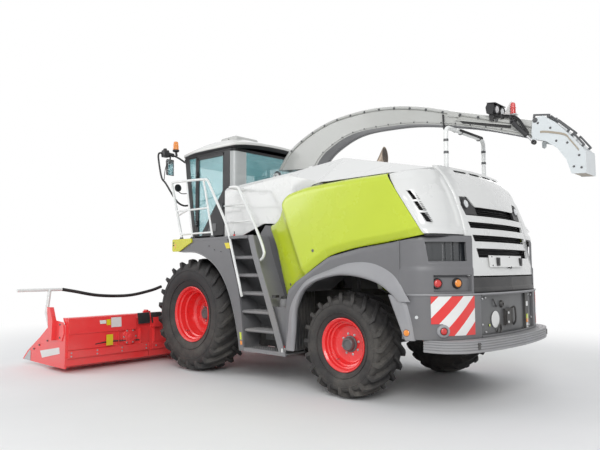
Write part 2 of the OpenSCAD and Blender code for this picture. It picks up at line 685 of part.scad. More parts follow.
module spout_rest() color("#f0f1ee") at_origin() {
    pipe([[-3960, -520, 2812], [-3960, -520, 3325], [-3960, 520, 3325], [-3960, 520, 2812]], 28, 90);
    block([-3995, -260, 3325], [-3925, 260, 3350]);
}

module exhaust() color("#3c3a38") at_origin() difference() {
    translate([-2440, -300, 2990]) rotate([0, -20, 0]) cylinder(h = 400, r = 80);
    translate([-2440, -300, 2990]) rotate([0, -20, 0]) translate([0, 0, 250]) cylinder(h = 400, r = 72);
}

module mirrors() color("#2a2c2e") at_origin() {
    for (side = [-1, 1]) {
        pipe([[1050, side * 640, 3530], [1200, side * 900, 3560], [1210, side * 1300, 3600],
            [670, side * 1300, 2800], [660, side * (cab_half_w + 1), 2780]], 16, 80);
        block([1190, side * 1030 - 90, 3230], [1232, side * 1030 + 90, 3560]);
    }
    translate([1200, 1010, 3570]) cylinder(h = 150, r = 52);
}

module lamps() color("#d8e23a") at_origin() both_sides() {
    side_cut([[445, deck_z], [445, 1890], [400, 1852], [280, 1852], [60, 1950], [-50, 1990], [-50, deck_z]],
        1461, 1485);
    translate([-4440, 960, 1410]) rotate([0, -90, 0]) cylinder(h = 12, r = 50);
}

// Spout

// Outline of the duct's top from the foot to the end, and of its underside back to the foot
spout_top = [[-590, 3225], [-840, 3510], [-1230, 3720], [-1660, 3860], [-2060, 3920], [-2530, 3930],
    [-2960, 3880], [-3370, 3790], [-3750, 3670], [-4300, 3510], [-4690, 3400], [-4980, 3310]];
spout_under = [[-4980, 3070], [-4620, 3200], [-4240, 3330], [-3830, 3440], [-3230, 3560], [-2730, 3600],
    [-2310, 3600], [-1990, 3530], [-1640, 3360], [-1450, 3160]];
pivot = [-620, 3125];
flap_pivot = [-4930, 3300];

module spout_turret() color("#eceeea") at_origin() {
    translate([-spout_x, 0, 2888]) difference() {
        cylinder(h = 172, r = 345);
        translate([0, 0, -1]) cylinder(h = 180, r = 300);
    }
    difference() {
        plan_cut([[-560, -210], [-560, 210], [-900, 345], [-1500, 345], [-1500, -345], [-900, -345]], 3060,
            3085);
        translate([-spout_x, 0, 3000]) cylinder(h = 200, r = 300);
    }
    both_sides() difference() {
        side_cut([[-545, 3085], [-580, 3165], [-660, 3165], [-700, 3085]], 165, 200);
        translate([pivot[0], 0, pivot[1]]) rotate([90, 0, 0]) cylinder(h = 600, r = 20, center = true);
    }
    both_sides() difference() {
        side_cut([[-1490, 3085], [-1450, 3190], [-1380, 3190], [-1340, 3085]], 165, 200);
        translate([-1415, 0, 3150]) rotate([90, 0, 0]) cylinder(h = 600, r = 15, center = true);
    }
}

module spout_arm() color("#eceeea") at_origin() {
    half = duct_w / 2;
    difference() {
        side_cut(concat(spout_top, spout_under), -half, half);
        side_cut(concat([for (p = spout_top) [p[0] - 12, p[1] - 14]],
            [for (p = spout_under) [p[0] - 12, p[1] + 14]]), duct_t - half, half - duct_t);
        side_cut([[-700, 3000], [-700, 3240], [-1330, 3240], [-1470, 3000]], duct_t - half, half - duct_t);
    }
    // Stub pins that carry the deflector
    both_sides() translate([flap_pivot[0], half - duct_t / 2, flap_pivot[1]]) rotate([-90, 0, 0])
        cylinder(h = 27, r = 12);
    translate([pivot[0], 0, pivot[1]]) rotate([90, 0, 0]) cylinder(h = 400, r = 19.95, center = true);
    difference() {
        union() {
            side_cut([[-590, 3225], [-588, 3125], [-652, 3125], [-720, 3225]], -half, half);
            translate([pivot[0], 0, pivot[1]]) rotate([90, 0, 0])
                cylinder(h = duct_w, r = 32, center = true);
        }
        side_cut([[-500, 3240], [-500, 3000], [-800, 3000], [-800, 3240]], duct_t - half, -30);
        side_cut([[-500, 3240], [-500, 3000], [-800, 3000], [-800, 3240]], 30, half - duct_t);
    }
}

module spout_fittings() color("#2a2c2e") at_origin() difference() {
    half = duct_w / 2;
    fittings_solid(half);
    side_cut(concat(spout_top, spout_under), -half, half);
}

module fittings_solid(half) {
    // Work lamps and the beacon's mast
    for (y = [-130, 50]) block([-4270, y, 3580], [-4190, y + 90, 3680]);
    block([-4230, -60, 3500], [-4200, 60, 3600]);
    rod([-4500, 0, 3440], [-4500, 0, 3520], 15);
    translate([-4500, 0, 3520]) cylinder(h = 100, r = 42);
    // The cylinder that tilts the deflector
    bar([-4420, half + 30, 3400], [-4720, half + 30, 3230], 28);
    bar([-4700, half + 30, 3240], [-4860, half + 30, 3150], 14);
    block([-4440, half, 3380], [-4400, half + 10, 3420]);
    block([-4445, half, 3370], [-4395, half + 40, 3430]);
}

flap_half = duct_w / 2 + 22;

module deflector() color("#eceeea") at_origin() difference() {
    side_cut([[-4900, 3325], [-5020, 3340], [-5160, 3230], [-5470, 2880], [-5470, 2610], [-5310, 2620],
        [-5260, 2790], [-5050, 3030], [-4900, 3080], [-4880, 3140]], -flap_half, flap_half);
    side_cut([[-4800, 3600], [-4988, 3600], [-4988, 3318], [-5015, 3318], [-5150, 3215], [-5452, 2872],
        [-5452, 2500], [-5200, 2500], [-5200, 2700], [-4980, 2980], [-4800, 3000]],
        10 - flap_half, flap_half - 10);
    translate([flap_pivot[0], 0, flap_pivot[1]]) rotate([90, 0, 0])
        cylinder(h = 400, r = 12.05, center = true);
}

// Front attachment

feeder_pivot = [250, 1110];

module feeder_house() color("#d8232a") at_origin() difference() {
    union() {
        side_cut([[250, 880], [250, 1340], [520, 1310], [1195, 860], [1195, 330], [640, 600]], -320, 320);
        translate([feeder_pivot[0], 0, feeder_pivot[1]]) rotate([90, 0, 0])
            cylinder(h = 640, r = 230, center = true);
    }
    side_cut([[0, 950], [0, 1270], [500, 1240], [1300, 790], [1300, 390], [660, 680]], -290, 290);
}

header_x = 1200;
rotor_x = 1700;
half_centre = 2 * rotor_pitch;
wall_section = [[header_x, 110], [header_x, 760], [header_x + 60, 830], [header_x + 150, 830],
    [header_x + 130, 790], [header_x + 60, 700], [header_x + 40, 110], [rotor_x + 260, 110],
    [rotor_x + 260, 70], [header_x + 80, 70]];

// The wing's hinge over the joint: an eye with its foot on the centre (side -1) or on the wing (side 1)
fold_z = 860;

module fold_rod(x0, x1, r) translate([x0, half_centre, fold_z]) rotate([0, 90, 0])
    cylinder(h = x1 - x0, r = r);

module fold_eye(x0, x1, side) {
    fold_rod(x0, x1, 24);
    block([x0, side > 0 ? half_centre + 4 : half_centre - 60, 815],
        [x1, side > 0 ? half_centre + 60 : half_centre - 4, fold_z]);
}

// A pointed divider in front of the gap between two rotors
module divider_nose(y) side_cut([[2010, 71], [2010, 115], [2120, 300], [2300, 260], [2640, 110],
    [2680, 71]], y - 35, y + 35);

module header_centre() color("#d8232a") at_origin() {
    difference() {
        side_cut(wall_section, 4 - half_centre, half_centre - 4);
        block([1100, -290, 390], [header_x + 70, 290, 760]);
    }
    for (y = [-1, 0, 1]) side_cut([[1950, 71], [1950, 109], [2015, 109], [2015, 71]],
        y * rotor_pitch - 30, y * rotor_pitch + 30);
    for (y = [-1, 0, 1]) divider_nose(y * rotor_pitch);
    both_sides() {
        block([1110, 1180, 600], [header_x, 1380, 760]);
        fold_eye(1262, 1286, -1);
        fold_eye(1322, 1346, -1);
        fold_rod(1262, 1346, 12);
    }
}

module header_wing() {
    side_cut(wall_section, half_centre + 4, 2 * half_centre + 10);
    for (y = [2, 3]) {
        side_cut([[1950, 71], [1950, 109], [2015, 109], [2015, 71]],
            y * rotor_pitch - 30 + (y == 2 ? 40 : 0), y * rotor_pitch + 30);
        divider_nose(y * rotor_pitch + (y == 2 ? 42 : 0));
    }
    side_cut([[header_x, 70], [header_x, 730], [1500, 740], [1750, 700], [2100, 480], [2560, 230], [2750,
        75], [2300, 70]],
        2 * half_centre + 10, 2 * half_centre + 38);
    bar([header_x + 100, half_centre + 10, 780], [header_x + 100, 2 * half_centre, 700], 40);
    difference() {
        fold_eye(1291, 1317, 1);
        fold_rod(1280, 1330, 12.05);
    }
}

module header_wing_left() color("#d8232a") at_origin() header_wing();
module header_wing_right() color("#d8232a") at_origin() mirror([0, 1, 0]) header_wing();

// One rotor: toothed discs on a drum
module rotor(i) translate([rotor_x, (i - 4.5) * rotor_pitch, 0]) {
    translate([0, 0, 116]) cylinder(h = 60, r = 110);
    translate([0, 0, 176]) cylinder(h = 270, r = 185);
    for (z = [160, 400]) translate([0, 0, z]) {
        cylinder(h = 12, r = rotor_r - 60);
        for (t = [0 : rotor_teeth - 1]) rotate(t * 360 / rotor_teeth)
            linear_extrude(12) polygon([[rotor_r - 90, -50], [rotor_r, 20], [rotor_r - 70, 34]]);
    }
}

module rotor_1() color("#c9ccd0") at_origin() rotor(1);
module rotor_2() color("#c9ccd0") at_origin() rotor(2);
module rotor_3() color("#c9ccd0") at_origin() rotor(3);
module rotor_4() color("#c9ccd0") at_origin() rotor(4);
module rotor_5() color("#c9ccd0") at_origin() rotor(5);
module rotor_6() color("#c9ccd0") at_origin() rotor(6);
module rotor_7() color("#c9ccd0") at_origin() rotor(7);
module rotor_8() color("#c9ccd0") at_origin() rotor(8);

bar_x = 1850;
bar_z = 1250;

module push_bar(side) {
    pipe([[1640, 2910, 600], [1800, 2910, 900], [bar_x, 2850, bar_z]], 30, 100, side);
    bar([bar_x, 2650, bar_z], [bar_x, 3350, bar_z], 25, side);
}

module push_bar_left() color("#f0f1ee") at_origin() push_bar(1);
module push_bar_right() color("#f0f1ee") at_origin() push_bar(-1);

hose_r = 27;
// The hose's route inwards from the end of the push bar
hose_route = [[bar_x, 2640, bar_z], [bar_x, 2450, 1215], [bar_x, 2000, 1130], [bar_x, 1450, 1110],
    [bar_x, 1000, 1180], [bar_x, 760, 1250]];

// The direction of a route at one of its points
function heading(points, i) = unit(points[min(i + 1, len(points) - 1)] - points[max(i - 1, 0)]);

// A smooth curve through four points, at a share of the way from the second to the third
function through(a, b, c, d, s) =
    0.5 * (2 * b + (c - a) * s + (2 * a - 5 * b + 4 * c - d) * s * s + (3 * b - a - 3 * c + d) * s * s * s);

function smooth_route(points, steps) = let (last = len(points) - 1) concat(
    [for (i = [0 : last - 1], k = [0 : steps - 1])
        through(points[max(i - 1, 0)], points[i], points[i + 1], points[min(i + 2, last)], k / steps)],
    [points[last]]);

// A hose swept along a route that stays in one plane across the machine, as one closed surface
module hose(side) {
    points = smooth_route([for (p = hose_route) [p[0], side * p[1], p[2]]], 5);
    sides = 10;
    rings = len(points);
    ring_points = [for (i = [0 : rings - 1]) let (lift = cross(heading(points, i), [1, 0, 0]))
        for (s = [0 : sides - 1]) let (a = s * 360 / sides)
            points[i] + hose_r * ([1, 0, 0] * cos(a) + lift * sin(a))];
    polyhedron(ring_points, concat(
        [[for (s = [0 : sides - 1]) s]],
        [for (i = [0 : rings - 2], s = [0 : sides - 1]) let (n = (s + 1) % sides)
            [i * sides + s, (i + 1) * sides + s, (i + 1) * sides + n, i * sides + n]],
        [[for (s = [sides - 1 : -1 : 0]) (rings - 1) * sides + s]]));
}

module hose_left() color("#1c1c1e") at_origin() hose(1);
module hose_right() color("#1c1c1e") at_origin() hose(-1);

chassis();
engine();
crop_unit();
front_axle();
rear_axle();
knuckle_left();
knuckle_right();
tyre_front_left();
tyre_front_right();
tyre_rear_left();
tyre_rear_right();
rim_front_left();
rim_front_right();
rim_rear_left();
rim_rear_right();
cab_frame();
cab_roof();
cab_glass();
cab_door();
cab_door_glass();
cab_interior();
platforms();
ladder();
handrails();
front_panels();
hood_top();
service_door_left();
service_door_right();
rear_corners();
rear_hood();
rear_grille();
rear_fenders();
tail_skirt();
bumper();
spout_rest();
exhaust();
mirrors();
lamps();
spout_turret();
spout_arm();
spout_fittings();
deflector();
feeder_house();
header_centre();
header_wing_left();
header_wing_right();
rotor_1();
rotor_2();
rotor_3();
rotor_4();
rotor_5();
rotor_6();
rotor_7();
rotor_8();
push_bar_left();
push_bar_right();
hose_left();
hose_right();
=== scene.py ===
import math

import bmesh
import bpy
from mathutils import Matrix, Vector


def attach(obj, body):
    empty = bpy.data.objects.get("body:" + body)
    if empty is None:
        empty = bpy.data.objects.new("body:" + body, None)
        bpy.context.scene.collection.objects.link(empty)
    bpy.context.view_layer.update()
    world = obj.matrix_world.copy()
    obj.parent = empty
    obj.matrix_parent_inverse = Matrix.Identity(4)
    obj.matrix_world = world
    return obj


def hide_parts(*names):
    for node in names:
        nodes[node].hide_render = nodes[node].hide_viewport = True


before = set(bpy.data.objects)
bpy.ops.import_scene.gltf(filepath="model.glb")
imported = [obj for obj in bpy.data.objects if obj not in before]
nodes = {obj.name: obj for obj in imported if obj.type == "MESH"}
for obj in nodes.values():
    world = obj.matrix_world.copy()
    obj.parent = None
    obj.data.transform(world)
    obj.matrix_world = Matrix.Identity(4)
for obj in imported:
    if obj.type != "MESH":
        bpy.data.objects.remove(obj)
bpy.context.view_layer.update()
print("frame loaded:", len(nodes), "nodes")

axleX = 1.36  # the front axle's place along the machine


def at(x, y, z):
    # a point given from the front axle, on the ground
    return Vector((x + axleX, y, z))


# camera and light

cameraSetup = {"eye": (-7.437, 6.938, 1.570), "yaw": -47.13, "pitch": 4.34, "roll": -0.24, "focal": 576.7,
               "imageWidth": 600}


def makeCamera(setup):
    yaw, pitch, roll = (math.radians(setup[k]) for k in ("yaw", "pitch", "roll"))
    forward = Vector((math.cos(yaw) * math.cos(pitch), math.sin(yaw) * math.cos(pitch), math.sin(pitch)))
    level = forward.cross(Vector((0, 0, 1))).normalized()
    upright = level.cross(forward)
    right = math.cos(roll) * level + math.sin(roll) * upright
    up = math.cos(roll) * upright - math.sin(roll) * level
    data = bpy.data.cameras.new("camera")
    data.sensor_width = 36
    data.lens = setup["focal"] / setup["imageWidth"] * data.sensor_width
    data.clip_end = 200
    camera = bpy.data.objects.new("camera", data)
    turn = Matrix((right, up, -forward)).transposed()
    camera.matrix_world = Matrix.Translation(at(*setup["eye"])) @ turn.to_4x4()
    bpy.context.scene.collection.objects.link(camera)
    bpy.context.scene.camera = camera


makeCamera(cameraSetup)
bpy.context.scene.view_settings.view_transform = "Standard"

lightSetup = {
    "worldColor": (0.93, 0.95, 1.0),
    "worldStrength": 0.60,
    "lamps": [  # name, place, target, size, watts
        ("keyLamp", (-9.5, 9.0, 7.0), (-1.5, 0, 1.4), 6.0, 660),
        ("topLamp", (-1.0, 0.0, 12.0), (-1.0, 0, 0), 10.0, 70),
        ("fillLamp", (8.0, 9.0, 6.0), (0.0, 0, 1.5), 7.0, 330),
        ("backLamp", (2.0, -11.0, 7.0), (0.0, 0, 1.5), 7.0, 260),
    ],
}


def shaderNodes(tree, kind, **values):
    made = tree.nodes.new(kind)
    for key, value in values.items():
        setattr(made, key, value)
    return made


def makeLights(setup):
    world = bpy.data.worlds.new("studio")
    bpy.context.scene.world = world
    world.use_nodes = True
    tree = world.node_tree
    light = tree.nodes["Background"]
    light.inputs["Color"].default_value = (*setup["worldColor"], 1)
    light.inputs["Strength"].default_value = setup["worldStrength"]
    backdrop = shaderNodes(tree, "ShaderNodeBackground")
    backdrop.inputs["Color"].default_value = (1, 1, 1, 1)
    path = shaderNodes(tree, "ShaderNodeLightPath")
    seen = shaderNodes(tree, "ShaderNodeMath", operation="MAXIMUM")
    seenToo = shaderNodes(tree, "ShaderNodeMath", operation="MAXIMUM")
    mix = shaderNodes(tree, "ShaderNodeMixShader")
    tree.links.new(path.outputs["Is Camera Ray"], seen.inputs[0])
    tree.links.new(path.outputs["Is Transmission Ray"], seen.inputs[1])
    tree.links.new(seen.outputs[0], seenToo.inputs[0])
    tree.links.new(path.outputs["Is Glossy Ray"], seenToo.inputs[1])
    tree.links.new(seenToo.outputs[0], mix.inputs[0])
    tree.links.new(light.outputs[0], mix.inputs[1])
    tree.links.new(backdrop.outputs[0], mix.inputs[2])
    tree.links.new(mix.outputs[0], tree.nodes["World Output"].inputs["Surface"])
    for name, place, target, size, watts in setup["lamps"]:
        data = bpy.data.lights.new(name, "AREA")
        data.shape = "DISK"
        data.size = size
        data.energy = watts
        lamp = bpy.data.objects.new(name, data)
        lamp.location = at(*place)
        lamp.rotation_euler = (at(*target) - at(*place)).to_track_quat("-Z", "Y").to_euler()
        bpy.context.scene.collection.objects.link(lamp)


makeLights(lightSetup)
print("camera and lamps placed")

# node groups that several finishes share


def newGroup(name, sockets):
    group = bpy.data.node_groups.new(name, "ShaderNodeTree")
    for label, direction, kind, value in sockets:
        socket = group.interface.new_socket(name=label, in_out=direction, socket_type="NodeSocket" + kind)
        if value is not None:
            socket.default_value = value
    start = group.nodes.new("NodeGroupInput")
    end = group.nodes.new("NodeGroupOutput")
    return group, start, end


def mathNode(tree, operation, a, b=None, c=None, clamp=False):
    made = shaderNodes(tree, "ShaderNodeMath", operation=operation, use_clamp=clamp)
    for index, value in enumerate((a, b, c)):
        if value is None:
            continue
        if isinstance(value, (int, float)):
            made.inputs[index].default_value = value
        else:
            tree.links.new(value, made.inputs[index])
    return made.outputs[0]


def mixColor(tree, factor, a, b, blend="MIX"):
    made = shaderNodes(tree, "ShaderNodeMix", data_type="RGBA", blend_type=blend)
    for index, value in ((0, factor), (6, a), (7, b)):
        if hasattr(value, "is_linked") or hasattr(value, "links"):
            tree.links.new(value, made.inputs[index])
        elif isinstance(value, (int, float)):
            made.inputs[index].default_value = value
        else:
            made.inputs[index].default_value = (*value[:3], 1)
    return made.outputs[2]


def rampNode(tree, value, low, high, smooth=True):
    made = shaderNodes(tree, "ShaderNodeMapRange", interpolation_type="SMOOTHSTEP" if smooth else "LINEAR")
    tree.links.new(value, made.inputs["Value"])
    made.inputs["From Min"].default_value = low
    made.inputs["From Max"].default_value = high
    return made.outputs["Result"]


def noiseNode(tree, vector, scale, detail=4.0, rough=0.55):
    made = shaderNodes(tree, "ShaderNodeTexNoise")
    tree.links.new(vector, made.inputs["Vector"])
    if isinstance(scale, (int, float)):
        made.inputs["Scale"].default_value = scale
    else:
        tree.links.new(scale, made.inputs["Scale"])
    made.inputs["Detail"].default_value = detail
    made.inputs["Roughness"].default_value = rough
    return made.outputs["Fac"]


def makeDustGroup():
    # dust that settles low down, on upward faces and in patches
    group, start, end = newGroup("dustFilm", [
        ("Base", "INPUT", "Color", (0.5, 0.5, 0.5, 1)), ("Dust", "INPUT", "Color", (0.36, 0.33, 0.28, 1)),
        ("Amount", "INPUT", "Float", 0.3), ("Low Height", "INPUT", "Float", 0.2),
        ("High Height", "INPUT", "Float", 1.6),
        ("Color", "OUTPUT", "Color", None), ("Mask", "OUTPUT", "Float", None)])
    place = shaderNodes(group, "ShaderNodeTexCoord").outputs["Object"]
    height = shaderNodes(group, "ShaderNodeSeparateXYZ")
    group.links.new(place, height.inputs[0])
    fall = shaderNodes(group, "ShaderNodeMapRange", interpolation_type="SMOOTHSTEP")
    group.links.new(height.outputs["Z"], fall.inputs["Value"])
    group.links.new(start.outputs["Low Height"], fall.inputs["From Min"])
    group.links.new(start.outputs["High Height"], fall.inputs["From Max"])
    fall.inputs["To Min"].default_value = 1.0
    fall.inputs["To Max"].default_value = 0.16
    patches = rampNode(group, noiseNode(group, place, 2.3, 7, 0.62), 0.32, 0.72)
    fine = rampNode(group, noiseNode(group, place, 38, 4, 0.7), 0.25, 0.8)
    facing = shaderNodes(group, "ShaderNodeSeparateXYZ")
    group.links.new(shaderNodes(group, "ShaderNodeNewGeometry").outputs["Normal"], facing.inputs[0])
    upward = mathNode(group, "MULTIPLY_ADD", facing.outputs["Z"], 0.45, 0.75, clamp=True)
    mask = mathNode(group, "MULTIPLY", mathNode(group, "MULTIPLY", patches, fall.outputs["Result"]), upward)
    mask = mathNode(group, "MULTIPLY", mask, mathNode(group, "MULTIPLY_ADD", fine, 0.5, 0.6))
    mask = mathNode(group, "MULTIPLY", mask, start.outputs["Amount"], clamp=True)
    group.links.new(mixColor(group, mask, start.outputs["Base"], start.outputs["Dust"]), end.inputs["Color"])
    group.links.new(mask, end.inputs["Mask"])
    return group


def makeWearGroup():
    # scuffed edges, found from the difference between the true and the rounded normal
    group, start, end = newGroup("edgeScuff", [
        ("Base", "INPUT", "Color", (0.5, 0.5, 0.5, 1)), ("Scuff", "INPUT", "Color", (0.3, 0.3, 0.3, 1)),
        ("Amount", "INPUT", "Float", 0.4), ("Width", "INPUT", "Float", 0.006),
        ("Color", "OUTPUT", "Color", None), ("Mask", "OUTPUT", "Float", None)])
    place = shaderNodes(group, "ShaderNodeTexCoord").outputs["Object"]
    rounded = shaderNodes(group, "ShaderNodeBevel", samples=4)
    group.links.new(start.outputs["Width"], rounded.inputs["Radius"])
    same = shaderNodes(group, "ShaderNodeVectorMath", operation="DOT_PRODUCT")
    group.links.new(rounded.outputs["Normal"], same.inputs[0])
    group.links.new(shaderNodes(group, "ShaderNodeNewGeometry").outputs["Normal"], same.inputs[1])
    edge = rampNode(group, mathNode(group, "SUBTRACT", 1.0, same.outputs["Value"]), 0.02, 0.18)
    broken = rampNode(group, noiseNode(group, place, 26, 5, 0.7), 0.42, 0.62)
    mask = mathNode(group, "MULTIPLY", mathNode(group, "MULTIPLY", edge, broken), start.outputs["Amount"],
                    clamp=True)
    group.links.new(mixColor(group, mask, start.outputs["Base"], start.outputs["Scuff"]), end.inputs["Color"])
    group.links.new(mask, end.inputs["Mask"])
    return group


def makeGrainGroup():
    # pebbled grain of moulded plastic and rubber
    group, start, end = newGroup("mouldGrain", [
        ("Scale", "INPUT", "Float", 900.0), ("Height", "OUTPUT", "Float", None),
        ("Shade", "OUTPUT", "Float", None)])
    place = shaderNodes(group, "ShaderNodeTexCoord").outputs["Object"]
    cells = shaderNodes(group, "ShaderNodeTexVoronoi", feature="SMOOTH_F1")
    group.links.new(place, cells.inputs["Vector"])
    group.links.new(start.outputs["Scale"], cells.inputs["Scale"])
    group.links.new(cells.outputs["Distance"], end.inputs["Height"])
    group.links.new(noiseNode(group, place, 3.1, 5, 0.6), end.inputs["Shade"])
    return group


def makePeelGroup():
    # the faint waviness and gloss changes of sprayed paint
    group, start, end = newGroup("sprayPeel", [
        ("Rough Low", "INPUT", "Float", 0.2), ("Rough High", "INPUT", "Float", 0.34),
        ("Roughness", "OUTPUT", "Float", None), ("Height", "OUTPUT", "Float", None),
        ("Shade", "OUTPUT", "Float", None)])
    place = shaderNodes(group, "ShaderNodeTexCoord").outputs["Object"]
    smears = noiseNode(group, place, 1.7, 6, 0.6)
    span = shaderNodes(group, "ShaderNodeMapRange")
    group.links.new(smears, span.inputs["Value"])
    span.inputs["From Min"].default_value = 0.3
    span.inputs["From Max"].default_value = 0.7
    group.links.new(start.outputs["Rough Low"], span.inputs["To Min"])
    group.links.new(start.outputs["Rough High"], span.inputs["To Max"])
    group.links.new(span.outputs["Result"], end.inputs["Roughness"])
    group.links.new(noiseNode(group, place, 210, 2, 0.5), end.inputs["Height"])
    group.links.new(smears, end.inputs["Shade"])
    return group


groups = {"dust": makeDustGroup(), "wear": makeWearGroup(), "grain": makeGrainGroup(),
          "peel": makePeelGroup()}


def useGroup(tree, key, **values):
    made = shaderNodes(tree, "ShaderNodeGroup", node_tree=groups[key])
    for label, value in values.items():
        socket = made.inputs[label.replace("_", " ")]
        if hasattr(value, "is_linked") or hasattr(value, "links"):
            tree.links.new(value, socket)
        elif isinstance(value, (int, float)):
            socket.default_value = value
        else:
            socket.default_value = (*value[:3], 1)
    return made


# finishes


def newMaterial(name):
    material = bpy.data.materials.new(name)
    material.use_nodes = True
    tree = material.node_tree
    return material, tree, tree.nodes["Principled BSDF"]


def bumpTo(tree, shader, height, strength, distance):
    bump = shaderNodes(tree, "ShaderNodeBump")
    bump.inputs["Strength"].default_value = strength
    bump.inputs["Distance"].default_value = distance
    tree.links.new(height, bump.inputs["Height"])
    tree.links.new(bump.outputs["Normal"], shader.inputs["Normal"])


def varied(tree, color, shade, spread):
    # a colour that drifts a little darker and lighter over the surface
    dark = [max(0.0, c * (1 - spread)) for c in color]
    light = [min(1.0, c * (1 + spread)) for c in color]
    return mixColor(tree, shade, dark, light)


def paintFinish(name, color, rough=(0.2, 0.34), coat=0.6, dust=0.25, dustTo=1.6, wear=0.35,
                scuff=(0.16, 0.15, 0.15), spread=0.05):
    material, tree, shader = newMaterial(name)
    peel = useGroup(tree, "peel", Rough_Low=rough[0], Rough_High=rough[1])
    base = varied(tree, color, peel.outputs["Shade"], spread)
    worn = useGroup(tree, "wear", Base=base, Scuff=scuff, Amount=wear, Width=0.004)
    dusty = useGroup(tree, "dust", Base=worn.outputs["Color"], Amount=dust, High_Height=dustTo)
    tree.links.new(dusty.outputs["Color"], shader.inputs["Base Color"])
    rougher = mathNode(tree, "MULTIPLY_ADD", dusty.outputs["Mask"], 0.5, peel.outputs["Roughness"],
                       clamp=True)
    tree.links.new(rougher, shader.inputs["Roughness"])
    shader.inputs["Coat Weight"].default_value = coat
    shader.inputs["Coat Roughness"].default_value = 0.08
    bumpTo(tree, shader, peel.outputs["Height"], 0.06, 0.0006)
    return material


def plasticFinish(name, color, rough=0.55, grain=700, bump=0.25, dust=0.35, dustTo=1.8, wear=0.3,
                  scuff=(0.3, 0.3, 0.3)):
    material, tree, shader = newMaterial(name)
    grained = useGroup(tree, "grain", Scale=grain)
    base = varied(tree, color, grained.outputs["Shade"], 0.14)
    worn = useGroup(tree, "wear", Base=base, Scuff=scuff, Amount=wear, Width=0.005)
    dusty = useGroup(tree, "dust", Base=worn.outputs["Color"], Amount=dust, High_Height=dustTo)
    tree.links.new(dusty.outputs["Color"], shader.inputs["Base Color"])
    spread = mathNode(tree, "MULTIPLY_ADD", grained.outputs["Shade"], 0.2, rough - 0.1)
    tree.links.new(mathNode(tree, "MULTIPLY_ADD", dusty.outputs["Mask"], 0.35, spread, clamp=True),
                   shader.inputs["Roughness"])
    bumpTo(tree, shader, grained.outputs["Height"], bump, 0.0008)
    return material


def metalFinish(name, color, rough=0.34, streak=160, dust=0.2):
    material, tree, shader = newMaterial(name)
    place = shaderNodes(tree, "ShaderNodeTexCoord").outputs["Object"]
    stretch = shaderNodes(tree, "ShaderNodeMapping")
    stretch.inputs["Scale"].default_value = (1, 1, 0.08)
    tree.links.new(place, stretch.inputs["Vector"])
    lines = noiseNode(tree, stretch.outputs["Vector"], streak, 6, 0.7)
    base = varied(tree, color, lines, 0.16)
    dusty = useGroup(tree, "dust", Base=base, Amount=dust, High_Height=1.2)
    tree.links.new(dusty.outputs["Color"], shader.inputs["Base Color"])
    shader.inputs["Metallic"].default_value = 1.0
    tree.links.new(mathNode(tree, "MULTIPLY_ADD", lines, 0.3, rough - 0.12, clamp=True),
                   shader.inputs["Roughness"])
    bumpTo(tree, shader, lines, 0.12, 0.0004)
    return material


def glassFinish(name, color, rough=0.02, alpha=0.35):
    material, tree, shader = newMaterial(name)
    place = shaderNodes(tree, "ShaderNodeTexCoord").outputs["Object"]
    film = rampNode(tree, noiseNode(tree, place, 2.2, 6, 0.65), 0.35, 0.8)
    tree.links.new(mixColor(tree, film, color, [c * 0.82 for c in color]), shader.inputs["Base Color"])
    tree.links.new(mathNode(tree, "MULTIPLY_ADD", film, 0.05, rough), shader.inputs["Roughness"])
    shader.inputs["IOR"].default_value = 1.45
    shader.inputs["Alpha"].default_value = alpha
    shader.inputs["Specular IOR Level"].default_value = 0.8
    return material


def lensFinish(name, color, glow=0.0):
    material, tree, shader = newMaterial(name)
    place = shaderNodes(tree, "ShaderNodeTexCoord").outputs["Object"]
    ribs = shaderNodes(tree, "ShaderNodeTexWave", wave_type="BANDS", bands_direction="Z")
    tree.links.new(place, ribs.inputs["Vector"])
    ribs.inputs["Scale"].default_value = 60
    tree.links.new(mixColor(tree, ribs.outputs["Fac"], [c * 0.72 for c in color], color),
                   shader.inputs["Base Color"])
    shader.inputs["Roughness"].default_value = 0.12
    shader.inputs["Coat Weight"].default_value = 1.0
    shader.inputs["Coat Roughness"].default_value = 0.03
    shader.inputs["Emission Color"].default_value = (*color, 1)
    shader.inputs["Emission Strength"].default_value = glow
    bumpTo(tree, shader, ribs.outputs["Fac"], 0.3, 0.002)
    return material


def rubberFinish(name, color, grain=420, dust=0.5, dustTo=1.9):
    return plasticFinish(name, color, rough=0.72, grain=grain, bump=0.35, dust=dust, dustTo=dustTo, wear=0.15,
                         scuff=(0.09, 0.085, 0.08))


